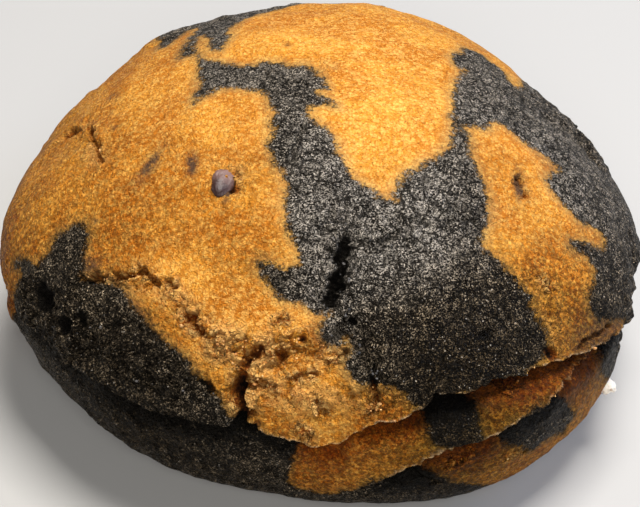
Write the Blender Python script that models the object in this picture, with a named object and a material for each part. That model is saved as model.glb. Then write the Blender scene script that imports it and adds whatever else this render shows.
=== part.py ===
"""Marbled cookie: a thick, domed biscuit of two doughs, modelled as one closed solid.

Places on the crust are written two ways. An azimuth turns from the front (-Y) towards +X, and a polar
angle runs from the crown (0) down to the middle of the base (180). A crust point (x, y) in millimetres
is measured along the surface from the crown, as on a flattened skin: +x is right and -y is front.

Run with: blender --background --python part.py
"""

import math

import bmesh
import bpy
import numpy as np
from mathutils import Vector, noise

MM = 0.001

# The smooth body, before it cracked in the oven
BODY_RADIUS = 43.9 * MM
BASE_RADIUS = 32.0 * MM
WAIST_HEIGHT = 19.6 * MM
CROWN_RISE = 24.0 * MM
BASE_RIM = 140.0
CROWN_FULLNESS = 1.09
FOOT_FULLNESS = 0.87
BASE_OFFSET = 1.0 * MM
CROWN_LEAN = -1.5 * MM
OUTLINE_WAVES = {2: (-0.0086, 0.0208), 3: (-0.0325, 0.0162), 5: (0.0078, 0.0), 6: (-0.0071, -0.0065)}
SKIN_PER_DEGREE = 0.61 * MM
CENTRE_SHIFT = (0.69 * MM, -0.57 * MM)

# Mesh density: a fine sphere is shaped first, then thinned
SPHERE_LEVEL = 8
TRIANGLE_TARGET = 11200

# Slow swells of the dough, as (height, width) from broad to small
SWELLS = ((0.55 * MM, 14.0 * MM), (0.28 * MM, 5.0 * MM), (0.12 * MM, 2.2 * MM))

# Edge of the risen upper crust, as azimuth: polar angle in degrees
UPPER_LIP = {
    -48: 89.0, -33: 88.5, -22: 88.0, -18: 86.0, -14: 84.0, -6: 87.0, -1: 88.5, 3: 87.5, 5: 83.0, 9: 80.0,
    15: 79.0, 20: 73.5, 33: 73.0, 40: 74.5, 50: 79.0, 58: 82.5, 68: 88.0, 80: 90.0, 100: 86.0, 140: 84.0,
    180: 87.0, 220: 85.0, 265: 88.0, 290: 90.0,
}
# Edge of the lower fold that opened under it on the right, where the two run together
LOWER_LIP = {0: 108.0, 7: 102.0, 13: 95.5, 21: 90.5, 27: 89.5, 32: 86.0, 40: 83.5, 57: 82.5, 70: 90.0}

# Each lip: how far it stands out, how deep the crevice under it is, and how far both reach
UPPER_OVERHANG = 1.3 * MM
UPPER_CREVICE = 3.0 * MM
LOWER_OVERHANG = 1.0 * MM
LOWER_CREVICE = 1.9 * MM
LIP_REACH = 5.0 * MM
CREVICE_REACH = 2.6 * MM
LIP_EDGE = 0.7 * MM
LIP_RAGGEDNESS = 1.1 * MM

# The soft lower layer bellies out again under the crevice, as azimuth in degrees: height
BELLIES = {-38: 0.9 * MM, -12: -0.4 * MM, 8: 0.7 * MM, 32: 0.8 * MM}
BELLY_SPREAD = 15.0

# Cracks: width, depth (mm), then the crust points they run through
CRACKS = {
    "front_split": (3.0, 3.4, [(-10.4, -40.8), (-11.7, -44.9), (-12.0, -48.5)]),
    "left_tear": (1.7, 1.3, [(-31.8, -21.8), (-26.9, -23.6), (-22.0, -23.7), (-20.5, -26.6)]),
    "left_slit": (1.7, 1.3, [(-17.9, -29.7), (-16.6, -32.4), (-15.6, -34.2)]),
    "front_tear": (2.2, 1.7, [(-11.2, -38.9), (-8.5, -38.0), (-4.2, -37.3)]),
    "front_crease": (1.6, 1.3, [(-4.7, -41.6), (-2.0, -40.7), (-0.1, -40.4)]),
    "front_nick": (1.4, 1.1, [(0.6, -38.5), (3.1, -37.6), (3.9, -36.5)]),
    "dark_crack": (1.7, 1.5, [(3.1, -21.1), (3.4, -22.7), (2.3, -24.3), (3.1, -25.9), (1.0, -31.4)]),
    "lip_crack": (1.5, 1.5, [(7.0, -37.5), (7.0, -41.0), (7.7, -43.5), (7.5, -47.0)]),
    "lobe_crack": (1.4, 1.2, [(-0.6, -44.3), (-0.1, -45.9), (0.7, -47.8)]),
    "right_tear": (1.6, 1.3, [(25.8, -21.6), (26.9, -23.0), (28.0, -23.8)]),
    "right_fold": (1.5, 1.3, [(24.2, -39.7), (26.9, -37.3), (28.5, -35.1)]),
    "shoulder_dent": (3.6, 1.9, [(-35.5, 5.4), (-33.3, 5.0), (-30.8, 4.2)]),
    "shoulder_crack": (1.4, 1.0, [(-30.8, 4.2), (-29.2, 2.9), (-28.3, 0.8), (-25.4, -5.8)]),
    "right_slot": (1.6, 1.3, [(23.4, -8.4), (23.2, -10.0), (23.8, -11.8)]),
    "back_tear": (2.0, 1.6, [(8.0, 36.0), (14.0, 38.0), (19.0, 36.0), (25.0, 38.5)]),
    "back_slit": (1.7, 1.4, [(-24.0, 33.0), (-20.0, 38.0), (-21.0, 43.0)]),
    "side_slit": (1.7, 1.4, [(42.0, 6.0), (40.0, 12.0), (43.0, 17.0)]),
}
# Pits: across, depth (mm), crust point
PITS = {
    "left_pit": (4.6, 1.7, (-40.0, -22.5)),
    "left_hollow": (2.8, 1.2, (-37.6, -28.0)),
    "left_dimple": (2.2, 1.0, (-33.4, -27.8)),
    "lip_hole": (1.9, 1.5, (29.8, -32.8)),
    "chip_bed": (2.2, 0.8, (-10.0, -14.6)),
    "back_pit": (3.2, 1.3, (-5.0, 45.0)),
    "right_pinch": (15.0, 1.7, (53.9, -17.5)),
}
# Bulges: across, height (mm), crust point
BULGES = {
    "back_right": (15.0, 0.9, (41.2, 13.4)),
    "back_left": (11.0, 0.9, (-23.0, 28.4)),
    "left_hip": (9.0, 1.0, (-55.1, -15.8)),
    "left_shoulder": (12.0, 0.6, (-39.6, 16.0)),
}
CRACK_WANDER = 0.6 * MM
CRACK_STEP = 1.2 * MM

# A pale chip of nut that stands out of the lower fold on the right
CHIP_PLACE = (59.5, 104.5)
CHIP_SIZE = (1.1 * MM, 1.5 * MM, 1.2 * MM)
CHIP_SUNK = 0.5 * MM


def smooth_step(value):
    """Ease from 0 to 1 as value goes from 0 to 1."""
    t = np.clip(value, 0.0, 1.0)
    return t * t * (3.0 - 2.0 * t)


def body_surface(azimuth, polar):
    """Smooth body of the cookie: positions for arrays of azimuth and polar angle, in radians."""
    wave = sum(a * np.cos(n * azimuth) + b * np.sin(n * azimuth) for n, (a, b) in OUTLINE_WAVES.items())
    waist = BODY_RADIUS * (1.0 + wave)
    foot = BASE_RADIUS * (1.0 + wave) + BASE_OFFSET * np.sin(azimuth)
    rim = math.radians(BASE_RIM)
    quarter = math.pi / 2.0

    up = np.minimum(polar, quarter)
    dome_radius = waist * np.sin(up) ** CROWN_FULLNESS
    dome_height = WAIST_HEIGHT + CROWN_RISE * np.maximum(np.cos(up), 0.0) ** CROWN_FULLNESS

    turn = np.clip((rim - polar) / (rim - quarter), 0.0, 1.0) * quarter
    side_radius = foot + (waist - foot) * np.sin(turn) ** FOOT_FULLNESS
    side_height = WAIST_HEIGHT * (1.0 - np.maximum(np.cos(turn), 0.0) ** FOOT_FULLNESS)

    radius = np.where(polar <= quarter, dome_radius, side_radius)
    height = np.where(polar <= quarter, dome_height, side_height)
    under = polar > rim
    radius = np.where(under, foot * (math.pi - polar) / (math.pi - rim), radius)
    height = np.where(under, 0.0, height)

    lift = np.clip(height / (WAIST_HEIGHT + CROWN_RISE), 0.0, 1.0)
    x = radius * np.sin(azimuth) + CROWN_LEAN * lift**2 + CENTRE_SHIFT[0]
    y = -radius * np.cos(azimuth) + CENTRE_SHIFT[1]
    return np.stack([x, y, height], axis=-1)


def crust_points(points):
    """Positions on the smooth body for crust points given in millimetres."""
    flat = np.array(points, dtype=float) * MM
    polar = np.radians(np.hypot(flat[:, 0], flat[:, 1]) / SKIN_PER_DEGREE)
    return body_surface(np.arctan2(flat[:, 0], -flat[:, 1]), polar)


def noise_field(positions, width, offset=0.0):
    """Smooth noise between about -1 and 1 at each position, with bumps about as wide as width."""
    shift = Vector((offset, offset * 0.7, -offset))
    return np.array([noise.noise(Vector(p) / width + shift) for p in positions])


def lip_polar(lip, azimuth):
    """Polar angle of a lip at each azimuth, in degrees, with the ends of the table joined round."""
    keys = np.array(sorted(lip), dtype=float)
    values = np.array([lip[key] for key in sorted(lip)])
    turned = np.mod(np.degrees(azimuth) - keys[0], 360.0) + keys[0]
    return np.interp(turned, np.append(keys, keys[0] + 360.0), np.append(values, values[0]))


def ledge(above, overhang, crevice):
    """Height of the relief round a lip, at a signed distance above its edge."""
    over = overhang * np.exp(-np.maximum(above, 0.0) / LIP_REACH)
    under = -crevice * np.exp(-((np.maximum(-above, 0.0) / CREVICE_REACH) ** 2))
    side = smooth_step(above / LIP_EDGE + 0.5)
    return side * over + (1.0 - side) * under


def upper_lip_strength(azimuth):
    """The upper crust has lifted most at the front right, and hardly at all at the back."""
    degrees = np.degrees(azimuth)
    return 0.35 + 0.65 * np.exp(-(((degrees - 25.0) / 70.0) ** 2))


def lower_lip_strength(azimuth):
    """The lower fold shows from the front round to the right side, and fades at both ends."""
    degrees = np.degrees(azimuth)
    return smooth_step((degrees - 2.0) / 14.0) * smooth_step((66.0 - degrees) / 16.0)


def belly_height(azimuth):
    """How far the lower layer bellies out at each azimuth."""
    degrees = np.degrees(azimuth)
    return sum(height * np.exp(-(((degrees - at) / BELLY_SPREAD) ** 2)) for at, height in BELLIES.items())


def distance_to_path(positions, path):
    """Distance from each position to the nearest point of a path, and how far along it that is."""
    best = np.full(len(positions), np.inf)
    along = np.zeros(len(positions))
    pieces = len(path) - 1
    for index in range(pieces):
        start, run = path[index], path[index + 1] - path[index]
        share = np.clip((positions - start) @ run / max(run @ run, 1e-12), 0.0, 1.0)
        gap = np.linalg.norm(positions - start - share[:, None] * run, axis=1)
        nearer = gap < best
        best = np.where(nearer, gap, best)
        along = np.where(nearer, (index + share) / pieces, along)
    return best, along


def crack_path(points, seed):
    """A crack's route over the body, broken into short steps that wander to each side."""
    draw = np.random.default_rng(seed)
    corners = np.array(points, dtype=float)
    route = [corners[0]]
    for start, end in zip(corners[:-1], corners[1:]):
        steps = max(1, round(np.linalg.norm(end - start) * MM / CRACK_STEP))
        for step in range(1, steps + 1):
            wander = draw.normal(0.0, CRACK_WANDER / MM / 2.0, 2) * (step < steps)
            route.append(start + (end - start) * step / steps + wander)
    return crust_points(route)


def spot_relief(positions):
    """Height of every round bulge and pit at each position."""
    relief = np.zeros(len(positions))
    for sign, spots in ((1.0, BULGES), (-1.0, PITS)):
        for across, height, point in spots.values():
            gap = np.linalg.norm(positions - crust_points([point])[0], axis=1)
            relief += sign * height * MM * (1.0 - smooth_step(gap / (0.6 * across * MM)))
    return relief


def crack_relief(positions):
    """Depth of every crack at each position, as a negative height."""
    relief = np.zeros(len(positions))
    for seed, (width, depth, points) in enumerate(CRACKS.values()):
        gap, along = distance_to_path(positions, crack_path(points, seed))
        taper = smooth_step(along * 5.0 + 0.35) * smooth_step((1.0 - along) * 5.0 + 0.35)
        relief -= depth * MM * taper * (1.0 - smooth_step(gap / (0.65 * width * MM)))
    return relief


def surface_relief(positions, azimuth, polar):
    """How far the baked crust stands out from the smooth body, along its normal."""
    ragged = LIP_RAGGEDNESS * (noise_field(positions, 5.0 * MM, 3.1) + 0.5 * noise_field(positions, 1.8 * MM, 8.4))
    degrees = np.degrees(polar)
    upper = (lip_polar(UPPER_LIP, azimuth) - degrees) * SKIN_PER_DEGREE + ragged
    lower = (lip_polar(LOWER_LIP, azimuth) - degrees) * SKIN_PER_DEGREE + ragged
    relief = upper_lip_strength(azimuth) * ledge(upper, UPPER_OVERHANG, UPPER_CREVICE)
    below_upper = smooth_step(-upper / CREVICE_REACH)
    relief += below_upper * lower_lip_strength(azimuth) * ledge(lower, LOWER_OVERHANG, LOWER_CREVICE)
    relief += belly_height(azimuth) * smooth_step(-upper / (2.0 * CREVICE_REACH))
    for layer, (height, width) in enumerate(SWELLS):
        relief += height * noise_field(positions, width, 20.0 + layer)
    return relief + spot_relief(positions) + crack_relief(positions)


def shape_sphere(mesh_data):
    """Turn a unit sphere's vertices into the cookie: body first, then relief along its normals."""
    sphere = np.array([vert.co for vert in mesh_data.verts])
    sphere /= np.linalg.norm(sphere, axis=1)[:, None]
    polar = np.arccos(np.clip(sphere[:, 2], -1.0, 1.0))
    azimuth = np.arctan2(sphere[:, 0], -sphere[:, 1])
    body = body_surface(azimuth, polar)
    for vert, place in zip(mesh_data.verts, body):
        vert.co = place
    mesh_data.normal_update()
    normals = np.array([vert.normal for vert in mesh_data.verts])
    flat_base = smooth_step((BASE_RIM - 1.0 - np.degrees(polar)) / 9.0)
    relief = surface_relief(body, azimuth, polar) * flat_base
    baked = body + normals * relief[:, None]
    for vert, place in zip(mesh_data.verts, baked):
        vert.co = (place[0], place[1], max(place[2], 0.0))


def make_object(name, mesh_data, collection):
    """Put finished mesh data in a new object of a collection."""
    mesh = bpy.data.meshes.new(name)
    mesh_data.to_mesh(mesh)
    mesh_data.free()
    made = bpy.data.objects.new(name, mesh)
    collection.objects.link(made)
    return made


def apply_modifiers(target):
    """Replace an object's mesh with what its modifiers make of it."""
    evaluated = target.evaluated_get(bpy.context.evaluated_depsgraph_get())
    finished = bpy.data.meshes.new_from_object(evaluated)
    target.modifiers.clear()
    target.data = finished


def flatten_base(mesh, tolerance=0.02 * MM):
    """Set the vertices of the base exactly on the resting plane."""
    for vertex in mesh.vertices:
        if vertex.co.z < tolerance:
            vertex.co.z = 0.0


def make_body(collection):
    """The baked cookie without its chip, thinned so that flat stretches use few triangles."""
    mesh_data = bmesh.new()
    bmesh.ops.create_icosphere(mesh_data, subdivisions=SPHERE_LEVEL, radius=1.0)
    shape_sphere(mesh_data)
    body = make_object("cookie", mesh_data, collection)
    thin = body.modifiers.new("Thin", "DECIMATE")
    thin.ratio = TRIANGLE_TARGET / len(body.data.polygons)
    apply_modifiers(body)
    flatten_base(body.data)
    return body


def make_chip(collection):
    """The chip of nut, half sunk in the crust, with its long side standing out."""
    mesh_data = bmesh.new()
    bmesh.ops.create_icosphere(mesh_data, subdivisions=2, radius=1.0)
    place = np.radians(np.array([CHIP_PLACE]))
    surface = body_surface(place[:, 0], place[:, 1])[0]
    outward = Vector((math.sin(place[0, 0]), -math.cos(place[0, 0]), 0.0))
    for vert in mesh_data.verts:
        lump = 1.0 + 0.18 * noise.noise(vert.co * 1.7)
        vert.co = Vector(length * value * lump for length, value in zip(CHIP_SIZE, vert.co))
    chip = make_object("nut_chip", mesh_data, collection)
    chip.location = Vector(surface) + outward * (LOWER_OVERHANG - CHIP_SUNK)
    chip.rotation_euler = (0.2, 0.3, place[0, 0])
    chip.hide_render = True
    chip.display_type = "WIRE"
    return chip


def fuse(target, collection):
    """Join every object of a collection into the target as one body, then remove them."""
    join = target.modifiers.new("Fuse", "BOOLEAN")
    join.operation = "UNION"
    join.operand_type = "COLLECTION"
    join.collection = collection
    join.solver = "EXACT"
    bpy.context.view_layer.update()
    apply_modifiers(target)
    for piece in list(collection.objects):
        bpy.data.objects.remove(piece, do_unlink=True)
    bpy.data.collections.remove(collection)


def dough_material():
    """Baked two-colour dough, matt with the colour of its orange part."""
    material = bpy.data.materials.new("marbled_crust")
    material.use_nodes = True
    shader = material.node_tree.nodes["Principled BSDF"]
    shader.inputs["Base Color"].default_value = (0.61, 0.27, 0.05, 1.0)
    shader.inputs["Roughness"].default_value = 0.78
    shader.inputs["Metallic"].default_value = 0.0
    return material


def main():
    """Build the cookie in an empty scene."""
    for old in list(bpy.data.objects):
        bpy.data.objects.remove(old, do_unlink=True)
    cookie_parts = bpy.data.collections.new("marbled_cookie")
    toppings = bpy.data.collections.new("toppings")
    for collection in (cookie_parts, toppings):
        bpy.context.scene.collection.children.link(collection)

    cookie = make_body(cookie_parts)
    make_chip(toppings)
    fuse(cookie, toppings)
    cookie.data.materials.clear()
    cookie.data.materials.append(dough_material())
    cookie.data.shade_smooth()
    cookie.data.set_sharp_from_angle(angle=math.radians(50.0))


main()
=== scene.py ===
"""Marbled cookie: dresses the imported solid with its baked, cracked crust of two doughs.

Places on the crust are written two ways. An azimuth turns from the front (-Y) towards +X, and a polar
angle runs from the crown (0) down to the middle of the base (180). A crust point (x, y) in millimetres
is measured along the surface from the crown, as on a flattened skin: +x is right and -y is front.
"""

import logging
import math
from collections.abc import Iterable, Sequence
from dataclasses import dataclass, field
from enum import Enum

import bmesh
import bpy
import numpy as np
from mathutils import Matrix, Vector, noise


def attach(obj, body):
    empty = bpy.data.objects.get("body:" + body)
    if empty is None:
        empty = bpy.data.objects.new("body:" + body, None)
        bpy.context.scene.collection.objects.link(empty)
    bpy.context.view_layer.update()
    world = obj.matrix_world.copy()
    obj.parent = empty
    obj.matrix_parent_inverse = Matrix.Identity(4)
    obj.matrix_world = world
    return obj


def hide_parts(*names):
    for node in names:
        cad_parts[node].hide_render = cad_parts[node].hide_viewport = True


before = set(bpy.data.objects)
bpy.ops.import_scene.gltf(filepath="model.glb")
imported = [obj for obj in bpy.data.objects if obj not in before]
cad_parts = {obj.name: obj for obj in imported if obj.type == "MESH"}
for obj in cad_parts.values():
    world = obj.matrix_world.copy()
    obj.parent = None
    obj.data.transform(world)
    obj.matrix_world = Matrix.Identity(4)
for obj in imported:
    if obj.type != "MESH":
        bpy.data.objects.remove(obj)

LOG = logging.getLogger("marbled_cookie")
MM = 0.001
NODE = "cookie"

CrustPoint = tuple[float, float]
Colour = tuple[float, float, float]
Socket = bpy.types.NodeSocket
Amount = Socket | float
Tint = Socket | Colour
NodeInput = Socket | float | tuple[float, ...]


class Dough(Enum):
    """The two doughs that were folded together."""

    GOLD = "gold"
    DARK = "dark"


# ---------------------------------------------------------------- shared measures


def smooth_step(value: np.ndarray) -> np.ndarray:
    """Ease from 0 to 1 as value goes from 0 to 1.

    Args:
        value: Any array.

    Returns:
        The eased array, held between 0 and 1.
    """
    t = np.clip(value, 0.0, 1.0)
    return t * t * (3.0 - 2.0 * t)


def close_to(distance: np.ndarray, middle: float, width: float) -> np.ndarray:
    """1 where a distance is at its middle value, easing to 0 at a width from it."""
    return 1.0 - smooth_step(np.abs(distance - middle) / width)


def noise_field(positions: np.ndarray, width: float, offset: float = 0.0) -> np.ndarray:
    """Smooth noise at each position.

    Args:
        positions: Points in metres, one to a row.
        width: Rough width of the bumps, in metres.
        offset: Moves the pattern, so that two fields differ.

    Returns:
        One value to a point, between about -1 and 1.
    """
    shift = Vector((offset, offset * 0.7, -offset))
    return np.array([noise.noise(Vector(p) / width + shift) for p in positions])


@dataclass(frozen=True)
class Ripple:
    """One layer of smooth noise: its strength, rough width of its bumps in metres, and its pattern's shift."""

    strength: float
    width: float
    offset: float


def ripples(positions: np.ndarray, layers: Sequence[Ripple]) -> np.ndarray:
    """Sum of layers of smooth noise, one value to a position."""
    return sum(layer.strength * noise_field(positions, layer.width, layer.offset) for layer in layers)


def distance_to_path(positions: np.ndarray, path: np.ndarray, margin: float) -> tuple[np.ndarray, np.ndarray]:
    """Distance from each position to a path.

    Args:
        positions: Points in metres, one to a row.
        path: Corners of the path, one to a row.
        margin: Points further than this from the path's reach are left at an infinite distance.

    Returns:
        The distances, and how far along the path the nearest place is, from 0 to 1.
    """
    best = np.full(len(positions), np.inf)
    along = np.zeros(len(positions))
    middle = path.mean(axis=0)
    reach = np.linalg.norm(path - middle, axis=1).max() + margin
    near = np.flatnonzero(np.linalg.norm(positions - middle, axis=1) < reach)
    close = positions[near]
    pieces = len(path) - 1
    for index in range(pieces):
        start, run = path[index], path[index + 1] - path[index]
        share = np.clip((close - start) @ run / max(run @ run, 1e-12), 0.0, 1.0)
        gap = np.linalg.norm(close - start - share[:, None] * run, axis=1)
        nearer = gap < best[near]
        best[near] = np.where(nearer, gap, best[near])
        along[near] = np.where(nearer, (index + share) / pieces, along[near])
    return best, along


def outline_distance(points: np.ndarray, outline: np.ndarray) -> np.ndarray:
    """Signed distance from points to a closed outline.

    Args:
        points: Flat points, one to a row.
        outline: The outline's corners, one to a row.

    Returns:
        The distances, above zero inside the outline.
    """
    best = np.full(len(points), np.inf)
    inside = np.zeros(len(points), dtype=bool)
    for start, end in zip(outline, np.roll(outline, -1, axis=0)):
        run = end - start
        share = np.clip((points - start) @ run / max(run @ run, 1e-12), 0.0, 1.0)
        best = np.minimum(best, np.linalg.norm(points - start - share[:, None] * run, axis=1))
        spans = (start[1] > points[:, 1]) != (end[1] > points[:, 1])
        rise = run[1] if run[1] != 0.0 else 1e-12
        inside ^= spans & (points[:, 0] < start[0] + run[0] * (points[:, 1] - start[1]) / rise)
    return np.where(inside, best, -best)


# ---------------------------------------------------------------- form


@dataclass(frozen=True)
class CookieBody:
    """The smooth body of the cookie, before it cracked in the oven, with the solid's own sizes."""

    waist_radius: float = 43.9 * MM
    foot_radius: float = 32.0 * MM
    waist_height: float = 19.6 * MM
    crown_rise: float = 24.0 * MM
    base_rim: float = 140.0
    crown_fullness: float = 1.09
    foot_fullness: float = 0.87
    base_offset: float = 1.0 * MM
    crown_lean: float = -1.5 * MM
    skin_per_degree: float = 0.61 * MM
    centre_shift: tuple[float, float] = (0.69 * MM, -0.57 * MM)
    waves: tuple[tuple[int, float, float], ...] = (
        (2, -0.0086, 0.0208),
        (3, -0.0325, 0.0162),
        (5, 0.0078, 0.0),
        (6, -0.0071, -0.0065),
    )

    def surface(self, azimuth: np.ndarray, polar: np.ndarray) -> np.ndarray:
        """Find points of the smooth body.

        Args:
            azimuth: Azimuths in radians.
            polar: Polar angles in radians.

        Returns:
            Positions in metres, one to a row.
        """
        wave = sum(a * np.cos(n * azimuth) + b * np.sin(n * azimuth) for n, a, b in self.waves)
        waist = self.waist_radius * (1.0 + wave)
        foot = self.foot_radius * (1.0 + wave) + self.base_offset * np.sin(azimuth)
        rim, quarter = math.radians(self.base_rim), math.pi / 2.0

        up = np.minimum(polar, quarter)
        dome_radius = waist * np.sin(up) ** self.crown_fullness
        dome_height = self.waist_height + self.crown_rise * np.maximum(np.cos(up), 0.0) ** self.crown_fullness

        turn = np.clip((rim - polar) / (rim - quarter), 0.0, 1.0) * quarter
        side_radius = foot + (waist - foot) * np.sin(turn) ** self.foot_fullness
        side_height = self.waist_height * (1.0 - np.maximum(np.cos(turn), 0.0) ** self.foot_fullness)

        radius = np.where(polar <= quarter, dome_radius, side_radius)
        height = np.where(polar <= quarter, dome_height, side_height)
        under = polar > rim
        radius = np.where(under, foot * (math.pi - polar) / (math.pi - rim), radius)
        height = np.where(under, 0.0, height)
        lift = np.clip(height / (self.waist_height + self.crown_rise), 0.0, 1.0)
        x = radius * np.sin(azimuth) + self.crown_lean * lift**2 + self.centre_shift[0]
        y = -radius * np.cos(azimuth) + self.centre_shift[1]
        return np.stack([x, y, height], axis=-1)

    def at(self, points: Iterable[CrustPoint]) -> np.ndarray:
        """Find crust points on the smooth body.

        Args:
            points: Crust points in millimetres.

        Returns:
            Positions in metres, one to a row.
        """
        flat = np.array(list(points), dtype=float) * MM
        polar = np.radians(np.hypot(flat[:, 0], flat[:, 1]) / self.skin_per_degree)
        return self.surface(np.arctan2(flat[:, 0], -flat[:, 1]), polar)

    def flatten(self, azimuth: np.ndarray, polar: np.ndarray) -> np.ndarray:
        """Crust points, in millimetres, of azimuths and polar angles in radians."""
        reach = np.degrees(polar) * self.skin_per_degree / MM
        return np.stack([reach * np.sin(azimuth), -reach * np.cos(azimuth)], axis=-1)


@dataclass(frozen=True)
class Lip:
    """A ragged edge of crust that stands out over a crevice.

    The edge is a table of azimuth and polar angle in degrees, joined round where it ends.
    """

    edge: dict[float, float]
    overhang: float
    crevice: float
    centre: float
    spread: float
    least: float
    reach: float = 5.0 * MM
    crevice_reach: float = 2.6 * MM
    edge_width: float = 0.55 * MM

    def above(self, azimuth: np.ndarray, polar: np.ndarray, per_degree: float) -> np.ndarray:
        """Signed distance from the edge.

        Args:
            azimuth: Azimuths in radians.
            polar: Polar angles in radians.
            per_degree: Length of a degree of polar angle along the skin, in metres.

        Returns:
            Distances in metres, above zero on the upper side.
        """
        keys = np.array(sorted(self.edge), dtype=float)
        values = np.array([self.edge[key] for key in sorted(self.edge)])
        turned = np.mod(np.degrees(azimuth) - keys[0], 360.0) + keys[0]
        edge = np.interp(turned, np.append(keys, keys[0] + 360.0), np.append(values, values[0]))
        return (edge - np.degrees(polar)) * per_degree

    def strength(self, azimuth: np.ndarray) -> np.ndarray:
        """How far the crust has lifted at each azimuth, from 0 to 1."""
        degrees = np.degrees(azimuth)
        return self.least + (1.0 - self.least) * np.exp(-(((degrees - self.centre) / self.spread) ** 2))

    def relief(self, above: np.ndarray) -> np.ndarray:
        """Height of the crust round the edge at full strength.

        Args:
            above: Signed distances from the edge, in metres.

        Returns:
            Heights in metres, above zero on the lip and below zero in the crevice.
        """
        over = self.overhang * np.exp(-np.maximum(above, 0.0) / self.reach)
        under = -self.crevice * np.exp(-((np.maximum(-above, 0.0) / self.crevice_reach) ** 2))
        side = smooth_step(above / self.edge_width + 0.5)
        return side * over + (1.0 - side) * under


@dataclass(frozen=True)
class Crack:
    """A crack: width and depth in millimetres, then the crust points that it runs through."""

    width: float
    depth: float
    points: tuple[CrustPoint, ...]
    torn: float = 1.0

    def path(self, body: CookieBody, seed: int, step: float = 0.8, wander: float = 0.26) -> np.ndarray:
        """Break the route into short steps that wander to each side.

        Args:
            body: The body that the crack runs over.
            seed: Seed of the wandering.
            step: Length of a step, in millimetres.
            wander: Typical sideways wander, in millimetres.

        Returns:
            The route's corners on the body, one to a row.
        """
        draw = np.random.default_rng(seed)
        corners = np.array(self.points, dtype=float)
        route = [corners[0]]
        for start, end in zip(corners[:-1], corners[1:]):
            steps = max(1, round(float(np.linalg.norm(end - start)) / step))
            for index in range(1, steps + 1):
                drift = draw.normal(0.0, wander, 2) * (index < steps)
                route.append(start + (end - start) * index / steps + drift)
        return body.at([tuple(point) for point in route])


@dataclass(frozen=True)
class Spot:
    """A round bulge or pit: how wide, how high (below zero for a pit), and its crust point."""

    across: float
    height: float
    point: CrustPoint


@dataclass(frozen=True)
class CrumbleZone:
    """A stretch of crust that broke up: reach in millimetres, how strongly, and its crust points."""

    reach: float
    strength: float
    points: tuple[CrustPoint, ...]


@dataclass(frozen=True)
class BrowningAndShade:
    """A broad area darkened more than the rest by browning with painted shade, or below zero lightened: reach
    in millimetres, share, crust point.
    """

    reach: float
    share: float
    point: CrustPoint


@dataclass(frozen=True)
class Ground:
    """Where each point of the smooth body lies.

    Azimuths and polar angles are in degrees, distances from the lips in metres and above zero over them.
    """

    positions: np.ndarray
    azimuth: np.ndarray
    polar: np.ndarray
    upper: np.ndarray
    lower: np.ndarray
    lift: np.ndarray
    fold: np.ndarray


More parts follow.
